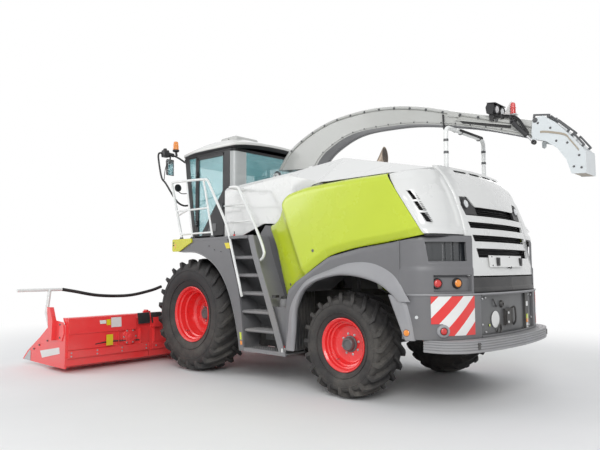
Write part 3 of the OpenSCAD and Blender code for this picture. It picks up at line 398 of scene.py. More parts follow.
# how each finish is made: maker, material slot, colour and what differs from the usual
finishLook = {
    "whitePaint": (paintFinish, "off_white", (0.68, 0.685, 0.667), dict(dust=0.07, wear=0.10, spread=0.012)),
    "railPaint": (paintFinish, "off_white", (0.78, 0.79, 0.77),
                  dict(rough=(0.28, 0.42), dust=0.22, wear=0.45)),
    "limePaint": (paintFinish, "lime_green", (0.51, 0.62, 0.016), dict(dust=0.08, wear=0.12, spread=0.05)),
    "redPaint": (paintFinish, "red_paint", (0.84, 0.024, 0.026), dict(dust=0.12, dustTo=1.4, wear=0.3)),
    "headerPaint": (paintFinish, "red_paint", (0.88, 0.045, 0.047),
                    dict(rough=(0.25, 0.45), dust=0.2, dustTo=1.0, wear=0.5)),
    "greyPlastic": (plasticFinish, "dark_plastic", (0.148, 0.148, 0.154), dict(rough=0.42, dust=0.2)),
    "blackPlastic": (plasticFinish, "black_plastic", (0.018, 0.018, 0.020), dict(rough=0.45)),
    "chassisPaint": (paintFinish, "chassis_grey", (0.030, 0.031, 0.033),
                     dict(rough=(0.4, 0.6), coat=0.1, dust=0.5, dustTo=2.0, wear=0.3)),
    "tyreRubber": (rubberFinish, "tyre_rubber", (0.020, 0.019, 0.020), dict(dust=0.28)),
    "hoseRubber": (rubberFinish, "hose_rubber", (0.012, 0.012, 0.013), dict(dust=0.2)),
    "seatFabric": (plasticFinish, "seat_fabric", (0.035, 0.038, 0.045),
                   dict(rough=0.9, grain=1500, bump=0.6, dust=0.1)),
    "limeLens": (lensFinish, "lamp_lime", (0.62, 0.72, 0.03), {}),
    "paleGrey": (plasticFinish, "dark_plastic", (0.30, 0.30, 0.31), dict(rough=0.45)),
    "blackRubber": (rubberFinish, "hose_rubber", (0.014, 0.014, 0.015), dict(dust=0.25)),
    "hubPaint": (paintFinish, "chassis_grey", (0.085, 0.088, 0.092),
                 dict(rough=(0.35, 0.5), coat=0.2, dust=0.3, wear=0.5)),
    "whitePlate": (paintFinish, "off_white", (0.76, 0.76, 0.74),
                   dict(rough=(0.3, 0.42), coat=0.3, dust=0.2, wear=0.2, spread=0.02)),
    "yellowPlate": (paintFinish, "lamp_lime", (0.72, 0.60, 0.015),
                    dict(rough=(0.3, 0.42), coat=0.3, dust=0.2, wear=0.2)),
    "amberLens": (lensFinish, "lamp_lime", (0.85, 0.26, 0.01), dict(glow=0.12)),
    "redLens": (lensFinish, "red_paint", (0.62, 0.012, 0.010), dict(glow=0.08)),
    "clearLens": (lensFinish, "off_white", (0.72, 0.74, 0.74), {}),
    "darkScreen": (lensFinish, "black_plastic", (0.02, 0.024, 0.028), {}),
    "steel": (metalFinish, "steel", (0.55, 0.55, 0.56), {}),
    "mirrorGlass": (metalFinish, "steel", (0.72, 0.80, 0.82), dict(rough=0.14)),
    "burntSteel": (metalFinish, "exhaust_steel", (0.16, 0.14, 0.13), dict(rough=0.5)),
    "spoutPaint": (paintFinish, "off_white", (0.47, 0.475, 0.45),
                   dict(rough=(0.26, 0.42), coat=0.4, dust=0.3, dustTo=5.0, wear=0.4, spread=0.05)),
    "strawPaint": (paintFinish, "exhaust_steel", (0.36, 0.31, 0.24),
                   dict(rough=(0.4, 0.6), coat=0.1, dust=0.3, wear=0.4)),
    "deflectorPaint": (paintFinish, "off_white", (0.64, 0.68, 0.69),
                       dict(rough=(0.26, 0.42), coat=0.4, dust=0.25, dustTo=4.5, wear=0.4, spread=0.04)),
    "tanSteel": (metalFinish, "exhaust_steel", (0.40, 0.33, 0.27), dict(rough=0.42)),
    "tealGlass": (glassFinish, "teal_glass", (0.36, 0.78, 0.82), dict(alpha=0.36)),
    "quarterGlass": (glassFinish, "teal_glass", (0.62, 0.64, 0.63), dict(rough=0.10, alpha=0.66)),
    "roofPaint": (paintFinish, "off_white", (0.72, 0.72, 0.69),
                  dict(rough=(0.25, 0.4), dust=0.1, dustTo=5.0, wear=0.1, spread=0.02)),
    "hatchPaint": (paintFinish, "off_white", (0.52, 0.525, 0.50),
                   dict(rough=(0.35, 0.5), coat=0.2, dust=0.2, dustTo=5.0, wear=0.2)),
    "trimBlack": (plasticFinish, "black_plastic", (0.010, 0.010, 0.012), dict(rough=0.5, dust=0.05)),
    "markerLime": (paintFinish, "lamp_lime", (0.60, 0.585, 0.008),
                   dict(rough=(0.2, 0.3), dust=0.05, wear=0.15)),
    "treadGrey": (plasticFinish, "dark_plastic", (0.215, 0.215, 0.222),
                  dict(rough=0.5, dust=0.45, dustTo=2.2, wear=0.6, scuff=(0.45, 0.44, 0.43))),
}
finishes, slotOf = {}, {}
for name, (make, slotName, color, more) in finishLook.items():
    finishes[name] = make(name, color, **more)
    slotOf[name] = slotName
print("finishes made:", len(finishes))

# the nodes of the frame that stay in view: finish and how far their edges are rounded
nodeLook = {
    "chassis": ("chassisPaint", 0.004), "engine": ("chassisPaint", 0.02),
    "crop_unit": ("chassisPaint", 0.006),
    "front_axle": ("chassisPaint", 0.006), "rear_axle": ("chassisPaint", 0.006),
    "knuckle_left": ("chassisPaint", 0.004), "knuckle_right": ("chassisPaint", 0.004),
    "front_panels": ("whitePaint", 0.01), "hood_top": ("whitePaint", 0.01),
    "spout_rest": ("railPaint", 0), "spout_turret": ("whitePaint", 0.004),
    "feeder_house": ("headerPaint", 0.006), "header_centre": ("headerPaint", 0.006),
    "header_wing_left": ("headerPaint", 0.006), "header_wing_right": ("headerPaint", 0.006),
    "push_bar_left": ("railPaint", 0), "push_bar_right": ("railPaint", 0),
}


def roundEdges(piece, width, segments, angle):
    bevel = piece.modifiers.new("roundedEdges", "BEVEL")
    bevel.width = width
    bevel.segments = segments
    bevel.limit_method = "ANGLE"
    bevel.angle_limit = math.radians(angle)
    bevel.miter_outer = "MITER_ARC"
    normals = piece.modifiers.new("evenNormals", "WEIGHTED_NORMAL")
    normals.weight = 80


def dressNode(name, finish, width):
    piece = nodes[name]
    piece.data.materials.clear()
    piece.data.materials.append(finishes[finish])
    if width:
        for face in piece.data.polygons:
            face.use_smooth = True
        weld = piece.modifiers.new("weld", "WELD")
        weld.merge_threshold = 0.0002
        roundEdges(piece, width, 3, 34)


for name in nodes:
    finish, width = nodeLook.get(name, ("steel", 0))
    dressNode(name, finish, width)
print("nodes dressed")


# mesh helpers; points are given from the front axle, in metres

def smoothLine(points, per=6):
    # a soft line through the given points
    points = [Vector(p) for p in points]
    line = []
    for i in range(len(points) - 1):
        a = points[max(i - 1, 0)]
        b, c = points[i], points[i + 1]
        d = points[min(i + 2, len(points) - 1)]
        for k in range(per):
            t = k / per
            line.append(0.5 * (2 * b + (c - a) * t + (2 * a - 5 * b + 4 * c - d) * t ** 2
                               + (3 * b - a - 3 * c + d) * t ** 3))
    line.append(points[-1])
    return line


def evenLine(points, count):
    # the same line in equal steps
    points = [Vector(p) for p in points]
    run = [0.0]
    for a, b in zip(points, points[1:]):
        run.append(run[-1] + (b - a).length)
    line = []
    k = 0
    for i in range(count):
        want = run[-1] * i / (count - 1)
        while k < len(run) - 2 and run[k + 1] < want:
            k += 1
        span = run[k + 1] - run[k]
        line.append(points[k].lerp(points[k + 1], (want - run[k]) / span if span else 0))
    return line


def ease(t):
    t = max(0.0, min(1.0, t))
    return t * t * (3 - 2 * t)


def follow(t, table):
    # the value of a short table of (place, value) at a place
    if t <= table[0][0]:
        return table[0][1]
    for (a, u), (b, v) in zip(table, table[1:]):
        if t <= b:
            return u + (v - u) * (t - a) / (b - a)
    return table[-1][1]


axisGap = 0.0006  # a turned form closes at this small radius


def lifted(z):
    return Vector((0, 0, z))


def moved(rows, x=0.0, y=0.0, z=0.0):
    # the same grid of points a little further on
    return [[Vector(p) + Vector((x, y, z)) for p in row] for row in rows]


def wheelAngles(steps, last=0):
    # equal steps of a full turn
    return [2 * math.pi * k / steps for k in range(steps + last)]


def sideName(side):
    return "left" if side > 0 else "right"


def newPart():
    return bmesh.new()


def fill(part, corners, finish=0):
    try:
        face = part.faces.new(corners)
    except ValueError:
        return None
    face.material_index = finish
    return face


def addRings(part, rings, closed=True, capped=True, finish=0):
    # skins a row of rings that have the same number of points
    made = [[part.verts.new(p) for p in ring] for ring in rings]
    n = len(made[0])
    for a, b in zip(made, made[1:]):
        for k in range(n if closed else n - 1):
            m = (k + 1) % n
            fill(part, (a[k], a[m], b[m], b[k]), finish)
    if capped:
        fill(part, made[0][::-1], finish)
        fill(part, made[-1], finish)
    return made


def addSlab(part, outline, low, high, axis="y", finish=0):
    # an outline with thickness along one axis
    order = {"x": lambda a, b, c: (c, a, b), "y": lambda a, b, c: (a, c, b),
             "z": lambda a, b, c: (a, b, c)}[axis]
    return addRings(part, [[order(p[0], p[1], level) for p in outline] for level in (low, high)],
                    finish=finish)


def addBox(part, low, high, finish=0):
    x, y, z = (sorted(pair) for pair in zip(low, high))
    return addSlab(part, [(x[0], y[0]), (x[1], y[0]), (x[1], y[1]), (x[0], y[1])], z[0], z[1], "z", finish)


def turned(axis):
    # two directions square to an axis
    axis = Vector(axis).normalized()
    side = axis.orthogonal().normalized()
    return axis, side, axis.cross(side)


def addLathe(part, profile, place, axis, steps=32, finish=0, closed=False):
    # profile points are (along the axis, radius)
    axis, side, other = turned(axis)
    place = Vector(place)
    rings = []
    for angle in wheelAngles(steps):
        spoke = math.cos(angle) * side + math.sin(angle) * other
        rings.append([part.verts.new(place + axis * along + spoke * radius) for along, radius in profile])
    n = len(profile)
    for k in range(steps):
        a, b = rings[k], rings[(k + 1) % steps]
        for i in range(n if closed else n - 1):
            j = (i + 1) % n
            fill(part, (a[i], b[i], b[j], a[j]), finish)
    if not closed:
        for i in (0, n - 1):
            if profile[i][1] > 0.0005:
                fill(part, [ring[i] for ring in rings], finish)
    return rings


def addTube(part, points, radius, sides=12, finish=0):
    points = [Vector(p) for p in points]
    heading = (points[1] - points[0]).normalized()
    _, side, _ = turned(heading)
    rings = []
    for i, p in enumerate(points):
        before = points[max(i - 1, 0)]
        after = points[min(i + 1, len(points) - 1)]
        heading = (after - before).normalized()
        side = (side - heading * side.dot(heading)).normalized()
        other = heading.cross(side)
        r = radius[i] if isinstance(radius, (list, tuple)) else radius
        rings.append([p + r * (math.cos(a) * side + math.sin(a) * other) for a in wheelAngles(sides)])
    return addRings(part, rings, finish=finish)


def addBolt(part, place, axis, size, finish=0, washer=True):
    if washer:
        addLathe(part, [(-0.002, size * 1.35), (size * 0.18, size * 1.35), (size * 0.22, size * 1.25),
                        (size * 0.22, size * 0.5)],
                 place, axis, 16, finish)
    addLathe(part, [(0, size), (size * 0.75, size), (size * 0.95, size * 0.82), (size * 0.95, axisGap)],
             place, axis, 6, finish)


def addSkin(part, outer, inner, finish=0):
    # a panel between two grids of points
    rows, cols = len(outer), len(outer[0])
    a = [[part.verts.new(p) for p in row] for row in outer]
    b = [[part.verts.new(p) for p in row] for row in inner]
    for i in range(rows - 1):
        for j in range(cols - 1):
            fill(part, (a[i][j], a[i][j + 1], a[i + 1][j + 1], a[i + 1][j]), finish)
            fill(part, (b[i][j], b[i + 1][j], b[i + 1][j + 1], b[i][j + 1]), finish)
    for i in range(rows - 1):
        for j in (0, cols - 1):
            fill(part, (a[i][j], a[i + 1][j], b[i + 1][j], b[i][j]), finish)
    for j in range(cols - 1):
        for i in (0, rows - 1):
            fill(part, (a[i][j], a[i][j + 1], b[i][j + 1], b[i][j]), finish)
    return a


def mirrorPart(part):
    # the same again on the machine's other side
    made = bmesh.ops.duplicate(part, geom=part.verts[:] + part.edges[:] + part.faces[:])
    for item in made["geom"]:
        if isinstance(item, bmesh.types.BMVert):
            item.co.y = -item.co.y
    bmesh.ops.reverse_faces(part, faces=[f for f in made["geom"] if isinstance(f, bmesh.types.BMFace)])


def flipped(part, side):
    # a part drawn for the left, turned over for the right
    if side < 0:
        for vert in part.verts:
            vert.co.y = -vert.co.y
        bmesh.ops.reverse_faces(part, faces=part.faces[:])
    return part


def addPiece(name, part, finish, body="machine", replaced=(), bevel=0.0, segments=2, angle=36, soft=0,
             cutters=None):
    # turns a finished part into an object of the scene
    bmesh.ops.recalc_face_normals(part, faces=part.faces)
    mesh = bpy.data.meshes.new(name)
    part.to_mesh(mesh)
    part.free()
    mesh.transform(Matrix.Translation((axleX, 0, 0)))
    piece = bpy.data.objects.new(name, mesh)
    bpy.context.scene.collection.objects.link(piece)
    names = [finish] if isinstance(finish, str) else finish
    for key in names:
        mesh.materials.append(finishes[key])
    mesh.shade_smooth()
    if cutters is not None:
        carve(piece, cutters)
        mesh = piece.data
    if not bevel and not soft:
        mesh.set_sharp_from_angle(angle=math.radians(angle))
    if soft:
        rounder = piece.modifiers.new("softened", "SUBSURF")
        rounder.levels = rounder.render_levels = soft
    if bevel:
        roundEdges(piece, bevel, segments, angle)
    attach(piece, body)
    if replaced:
        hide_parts(*replaced)
    return piece


def carve(piece, part):
    # cuts the given solids out of a piece, once
    bmesh.ops.recalc_face_normals(part, faces=part.faces)
    mesh = bpy.data.meshes.new("cutter")
    part.to_mesh(mesh)
    part.free()
    mesh.transform(Matrix.Translation((axleX, 0, 0)))
    for material in piece.data.materials:
        mesh.materials.append(material)
    cutter = bpy.data.objects.new("cutter", mesh)
    bpy.context.scene.collection.objects.link(cutter)
    cut = piece.modifiers.new("openings", "BOOLEAN")
    cut.operation = "DIFFERENCE"
    cut.solver = "EXACT"
    cut.object = cutter
    shaped = bpy.data.meshes.new_from_object(piece.evaluated_get(bpy.context.evaluated_depsgraph_get()))
    shaped.name = piece.name
    piece.modifiers.clear()
    piece.data = shaped
    bpy.data.objects.remove(cutter)
    bpy.data.meshes.remove(mesh)


# wheels

wheelSetup = {
    "front": {"x": 0.0, "y": 1.175, "radius": 0.87, "width": 0.65, "bead": 0.406, "lugs": 22,
              "lugHeight": 0.048, "lugTop": 0.050, "sweep": 0.27, "discY": -0.09, "hub": 0.098, "hubEnd": 0.0,
              "boltRing": 0.140, "bolts": 10, "boltSize": 0.014},
    "rear": {"x": -2.97, "y": 1.16, "radius": 0.64, "width": 0.54, "bead": 0.305, "lugs": 20,
             "lugHeight": 0.042, "lugTop": 0.044, "sweep": 0.22, "discY": 0.04, "hub": 0.086, "hubEnd": 0.135,
             "boltRing": 0.128, "bolts": 8, "boltSize": 0.012},
}


def tyreSection(s):
    # half of the carcass from the bead to the crown, as (across, radius)
    r, half, bead = s["radius"], s["width"] / 2 - 0.007, s["bead"]
    rimHalf = s["width"] * 0.41
    top = r - s["lugHeight"]
    return [(rimHalf - 0.030, bead), (rimHalf - 0.020, bead + 0.022), (rimHalf - 0.004, bead + 0.044),
            (half - 0.030, bead + (top - bead) * 0.24), (half - 0.004, bead + (top - bead) * 0.44),
            (half, bead + (top - bead) * 0.60),
            (half - 0.012, bead + (top - bead) * 0.80), (half - 0.052, top - 0.036),
            (half - 0.13, top - 0.010), (half * 0.35, top), (0, top + 0.002)]


def addLug(part, s, side, angle):
    r, half = s["radius"], s["width"] / 2
    base = r - s["lugHeight"] - 0.014
    # how far out, top (across, radius), foot (across, radius), half width at the top and at the foot
    stations = [
        (0.00, (-0.016, r - 0.001), (-0.016, base), 0.46, 0.78),
        (0.10, (half * 0.10, r), (half * 0.10, base), 0.50, 0.84),
        (0.24, (half * 0.26, r), (half * 0.26, base), 0.50, 0.84),
        (0.40, (half * 0.44, r - 0.002), (half * 0.44, base), 0.50, 0.84),
        (0.57, (half * 0.62, r - 0.007), (half * 0.61, base - 0.006), 0.52, 0.86),
        (0.74, (half * 0.78, r - 0.015), (half * 0.76, base - 0.018), 0.55, 0.90),
        (0.90, (half - 0.026, r - 0.028), (half - 0.075, base - 0.040), 0.60, 0.95),
        (0.97, (half - 0.010, r - 0.048), (half - 0.060, base - 0.062), 0.60, 0.96),
        (1.00, (half - 0.003, r - 0.092), (half - 0.040, base - 0.090), 0.58, 0.98),
        (1.01, (half - 0.006, r - 0.140), (half - 0.034, base - 0.118), 0.58, 0.98),
    ]
    rings = []
    for out, top, foot, topHalf, footHalf in stations:
        lead = angle - s["sweep"] * (out ** 0.86) / r
        ring = []
        for (across, radius), share, sign in ((foot, footHalf, -1), (top, topHalf, -1), (top, topHalf, 1),
                                              (foot, footHalf, 1)):
            turn = lead + sign * share * s["lugTop"] / r
            ring.append((s["x"] + radius * math.sin(turn), s["y"] + side * across,
                         s["radius"] + radius * math.cos(turn)))
        rings.append(ring)
    addRings(part, rings)


def makeTyre(key, side):
    s = wheelSetup[key]
    part = newPart()
    half = smoothLine([(a, r, 0) for a, r in tyreSection(s)], 4)
    section = [(p.x, p.y) for p in half] + [(-p.x, p.y) for p in half[-2::-1]]
    addLathe(part, section, (s["x"], s["y"], s["radius"]), (0, 1, 0), 120, closed=True)
    # two thin ribs on each sidewall
    for face in (-1, 1):
        for share in (0.30, 0.66):
            radius = s["bead"] + (s["radius"] - s["lugHeight"] - s["bead"]) * share
            across = face * (s["width"] / 2 - (0.021 if share < 0.5 else 0.0085))
            addLathe(part, [(across, radius - 0.006), (across + face * 0.0055, radius - 0.002),
                            (across + face * 0.0055, radius + 0.002), (across, radius + 0.006),
                            (across - face * 0.02, radius)], (s["x"], s["y"], s["radius"]), (0, 1, 0), 120,
                     closed=True)
    step = 2 * math.pi / s["lugs"]
    for i in range(s["lugs"]):
        addLug(part, s, 1, i * step)
        addLug(part, s, -1, (i + 0.5) * step)
    place = key + "_" + sideName(side)
    addPiece("tyre_" + place + ".tread", flipped(part, side), "tyreRubber", "wheel_" + place,
             ("tyre_" + place,), bevel=0.006, angle=42)


def makeRim(key, side):
    s = wheelSetup[key]
    part = newPart()
    bead, edge, disc = s["bead"], s["width"] * 0.41, s["discY"]
    lip, well = bead + 0.026, bead - 0.012
    outer = [(edge - 0.022, bead), (edge - 0.020, lip - 0.004), (edge - 0.012, lip),
             (edge - 0.003, lip - 0.003), (edge, lip - 0.010), (edge - 0.004, lip - 0.017),
             (edge - 0.024, well + 0.002), (edge - 0.060, well - 0.006)]
    if key == "front":
        steps = [(edge - 0.068, well - 0.030), (edge - 0.150, well - 0.036), (edge - 0.162, well - 0.056),
                 (disc + 0.060, well - 0.066), (disc + 0.026, well - 0.100), (disc + 0.018, well - 0.150),
                 (disc + 0.030, s["boltRing"] + 0.050), (disc + 0.014, s["boltRing"] + 0.026),
                 (disc + 0.014, 0.03)]
    else:
        steps = [(edge - 0.066, well - 0.018), (edge - 0.105, well - 0.024), (edge - 0.112, well - 0.044),
                 (disc + 0.045, well - 0.052), (disc + 0.020, well - 0.072), (disc + 0.012, well - 0.100),
                 (disc + 0.014, 0.03)]
    back = [(disc - 0.014, 0.03), (disc - 0.014, well - 0.105), (disc - 0.045, well - 0.070),
            (0.090 - edge, well - 0.040), (0.020 - edge, well), (0.004 - edge, lip - 0.012),
            (0.004 - edge, lip), (0.020 - edge, lip), (0.022 - edge, bead)]
    place = (s["x"], s["y"], s["radius"])
    addLathe(part, outer + steps + back, place, (0, 1, 0), 96, closed=True)
    # the hub with its bolts, and the valve
    face = disc + 0.014
    addLathe(part, [(face - 0.004, s["hub"] + 0.016), (face + 0.012, s["hub"] + 0.016),
                    (face + 0.016, s["hub"]), (s["hubEnd"] - 0.014, s["hub"] - 0.004),
                    (s["hubEnd"], s["hub"] - 0.016), (s["hubEnd"], 0.052), (s["hubEnd"] - 0.010, 0.046),
                    (s["hubEnd"] - 0.010, 0.0008)], place, (0, 1, 0), 40, 1)
    for i in range(s["bolts"]):
        angle = 2 * math.pi * (i + 0.35) / s["bolts"]
        bolt = (s["x"] + s["boltRing"] * math.sin(angle), s["y"] + face,
                s["radius"] + s["boltRing"] * math.cos(angle))
        addBolt(part, bolt, (0, 1, 0), s["boltSize"], 2)
    valve = (s["x"] + (well - 0.05) * 0.6, s["y"] + edge - 0.13, s["radius"] - (well - 0.05) * 0.8)
    addTube(part, [valve, (valve[0], valve[1] + 0.05, valve[2] + 0.004),
                   (valve[0] - 0.004, valve[1] + 0.07, valve[2] + 0.010)], [0.007, 0.006, 0.005], 8, 2)
    name = key + "_" + sideName(side)
    addPiece("rim_" + name + ".dish", flipped(part, side), ["redPaint", "hubPaint", "steel"], "wheel_" + name,
             ("rim_" + name,), bevel=0.003, angle=30)


for key in wheelSetup:
    for side in (1, -1):
        makeTyre(key, side)
        makeRim(key, side)
print("wheels made")

# service doors: one bowed green panel each side

doorSetup = {
    "thickness": 0.022, "lean": 23, "bandHeight": 0.092, "bandDepth": 0.040, "topRound": 0.105,
    "top": [(-1.51, 2.20), (-1.66, 2.222), (-1.80, 2.292), (-1.90, 2.40), (-1.975, 2.50), (-2.08, 2.575),
            (-2.27, 2.618), (-2.49, 2.645), (-3.07, 2.668), (-3.665, 2.675)],
    "bottom": [(-1.84, 1.13), (-2.26, 1.405), (-2.50, 1.56), (-2.66, 1.655), (-2.82, 1.732), (-3.05, 1.788),
               (-3.29, 1.828), (-3.78, 1.888), (-4.15, 1.945)],
    "front": [(-1.84, 1.13), (-1.775, 1.42), (-1.715, 1.70), (-1.680, 1.86), (-1.60, 2.03), (-1.51, 2.20)],
    "rear": [(-4.15, 1.945), (-3.98, 2.20), (-3.80, 2.47), (-3.665, 2.675)],
    "bow": [(-2.115, 1.440), (-2.085, 1.434), (-2.062, 1.420), (-2.03, 1.398), (-1.98, 1.372), (-1.88, 1.338),
            (-1.70, 1.285), (-1.38, 1.165)],
    "locks": [(-2.55, 1.80), (-1.99, 1.36)],
}


def doorDepth(x, z):
    # how far out the panel stands: the front face turns in along a leaning crease
    lean = math.tan(math.radians(doorSetup["lean"]))
    place = x - (z - 2.2) * lean
    return follow(place, doorSetup["bow"])


def doorPatch(count=96, rows=56):
    s = doorSetup
    lines = {}
    for key, n in (("top", count), ("bottom", count), ("front", rows), ("rear", rows)):
        lines[key] = evenLine(smoothLine([(x, z, 0) for x, z in s[key]], 8), n)
    grid = []
    for j in range(rows):
        t = j / (rows - 1)
        row = []
        for i in range(count):
            u = i / (count - 1)
            low, high, front, rear = lines["bottom"][i], lines["top"][i], lines["front"][j], lines["rear"][j]
            p = low.lerp(high, t)
            p += (1 - u) * (front - lines["bottom"][0].lerp(lines["top"][0], t))
            p += u * (rear - lines["bottom"][-1].lerp(lines["top"][-1], t))
            rise = (high - low).length
            fromTop, fromLow = (1 - t) * rise, t * rise
            y = doorDepth(p.x, p.y)
            roll = max(0.0, 1 - fromTop / s["topRound"])
            y -= 0.080 * (1 - math.sqrt(max(0.0, 1 - roll ** 2)))
            y -= s["bandDepth"] * max(0.0, 1 - fromLow / s["bandHeight"]) ** 0.9
            fromFront = u * 2.0
            y -= 0.012 * max(0.0, 1 - fromFront / 0.03) ** 2
            row.append(Vector((p.x, y, p.y)))
        grid.append(row)
    return grid


def makeServiceDoor(side):
    grid = doorPatch()
    part = newPart()
    addSkin(part, grid, moved(grid, y=-doorSetup["thickness"]))
    name, body = "service_door_" + sideName(side), "flap_" + sideName(side)
    if side < 0:
        for vert in part.verts:
            vert.co.y = -vert.co.y
    addPiece(name + ".skin", part, "limePaint", body, (name,), bevel=0.004, angle=50)
    # lock barrels
    locks = newPart()
    for x, z in doorSetup["locks"]:
        y = doorDepth(x, z)
        outward = (0.0, side, 0.0) if x < -2.2 else (0.33, side * 0.94, 0)
        place = (x, side * (y - 0.001), z)
        addLathe(locks, [(-0.004, 0.019), (0.003, 0.019), (0.005, 0.016), (0.005, 0.012), (0.002, 0.011),
                         (0.002, axisGap)], place, outward, 20)
    addPiece(name + ".locks", locks, "hubPaint", body)


makeServiceDoor(1)
makeServiceDoor(-1)
print("service doors made")

# white corners and the rear hood

rearSetup = {
    "profile": [(1.55, -4.510), (1.70, -4.490), (1.95, -4.450), (2.20, -4.390), (2.45, -4.300),
                (2.65, -4.190), (2.80, -4.060)],
    "half": 0.858, "bow": 0.080, "thickness": 0.025,
    "slats": [(2.105, 2.032), (1.952, 1.876), (1.796, 1.690)],  # top and bottom of each opening
    "topSlots": [(0.560, 0.262), (0.214, -0.094), (-0.142, -0.450), (-0.498, -0.700)],
    "sideSlots": [(-3.990, 2.390), (-4.068, 2.261), (-4.146, 2.132)],
}


def rearX(y, z):
    s = rearSetup
    return follow(z, s["profile"]) + s["bow"] * (y / s["half"]) ** 2


def softRearX(y, z):
    # the same face with its profile drawn as a soft line
    return (rearX(y, z - 0.05) + rearX(y, z) + rearX(y, z + 0.05)) / 3


def cornerPoint(s, t):
    # from the lower edge up, and from the service door round to the rear face
    top = 2.670 + 0.074 * t
    z = 1.950 + (top - 1.950) * s
    shoulder = follow(z, [(2.45, 1.440), (2.60, 1.405), (2.69, 1.340)])
    ax, ay = -4.150 + (z - 1.945) * 0.664 - 0.008, shoulder
    bx, by = rearX(0.870, z) + 0.004, 0.870
    cx, cy = bx + 0.060, ay - 0.020
    x = (1 - t) ** 2 * ax + 2 * t * (1 - t) * cx + t * t * bx
    y = (1 - t) ** 2 * ay + 2 * t * (1 - t) * cy + t * t * by
    # a shallow sunk field with a ledge below it
    field = ease((s - 0.07) / 0.07) * (1 - ease((s - 0.80 + 0.30 * (1 - t)) / 0.12))
    field *= ease((t - 0.05) / 0.05) * (1 - ease((t - 0.90) / 0.06))
    sink = 0.016 * field
    edge = 0.010 * (1 - ease(s / 0.05))
    return Vector((x + (sink + edge * 0.5) * t, y - sink * (1 - t * 0.6) - edge * (1 - t), z))


def makeCorners():
    part = newPart()
    grid = [[cornerPoint(i / 56, j / 56) for j in range(57)] for i in range(57)]
    inner = [[Vector((p.x + 0.025 * j / 56, p.y - 0.025 * (1 - j / 56), p.z)) for j, p in enumerate(row)]
             for row in grid]
    addSkin(part, grid, inner)
    mirrorPart(part)
    cutters = newPart()
    slot = ((-0.022, -0.053), (0.020, -0.053), (0.020, 0.053), (-0.022, 0.053))
    for side in (1, -1):
        for x, z in rearSetup["sideSlots"]:
            shape = [(x + dx + dz * 0.66, z + dz) for dx, dz in slot]
            addSlab(cutters, shape, side * 1.20, side * 1.50)
    addPiece("rear_corners.skin", part, "whitePaint", "machine", ("rear_corners",), bevel=0.004, angle=50,
             cutters=cutters)
    # dark grilles behind the slots
    backs = newPart()
    for side in (1, -1):
        for x, z in rearSetup["sideSlots"]:
            for k in range(6):
                dz = -0.050 + k * 0.019
                u, w = x + dz * 0.66, z + dz
                addSlab(backs, [(u - 0.05, w), (u + 0.05, w), (u + 0.05, w + 0.004), (u - 0.05, w + 0.004)],
                        side * 1.340, side * 1.362)
        addSlab(backs, [(-4.22, 2.02), (-4.10, 2.02), (-3.86, 2.46), (-3.96, 2.46)], side * 1.270,
                side * 1.284)
        # a dark seal behind the seams round the corner
        for t in (1.0, 0.0):
            rows = []
            for p in (cornerPoint(i / 20, t) for i in range(21)):
                if t:
                    rows.append([(p.x + 0.030, side * (p.y + 0.020), p.z),
                                 (p.x + 0.038, side * (p.y - 0.040), p.z)])
                else:
                    rows.append([(p.x - 0.030, side * (p.y - 0.030), p.z),
                                 (p.x + 0.050, side * (p.y - 0.032), p.z)])
            addSkin(backs, rows, moved(rows, x=0.004, y=-side * 0.006))
        low = [cornerPoint(0, j / 20) for j in range(21)]
        rows = [[(p.x + 0.02 * j / 20, side * (p.y - 0.024), z) for j, p in enumerate(low)]
                for z in (1.925, 1.985)]
        addSkin(backs, rows, moved(rows, x=0.006, y=-side * 0.008))
    addPiece("rear_corners.grilles", backs, "blackPlastic")


makeCorners()


def hoodPoint(y, z, shift=0.0):
    # rolls forward along both side edges, and stands out a little over its upper half
    half = rearSetup["half"]
    roll = min(1.0, max(0.0, (abs(y) - (half - 0.035)) / 0.035))
    brow = 0.006 * ease((z - 2.30) / 0.02) * (1 - ease((z - 2.72) / 0.05))
    spread = 1 + 0.050 * ease((1.95 - z) / 0.45)
    x = softRearX(y, max(z, 1.56)) - brow - 0.02 * max(0.0, 1.56 - z) + shift
    x += 0.022 * (1 - math.sqrt(max(0.0, 1 - roll ** 2)))
    return Vector((x, y * spread, z))


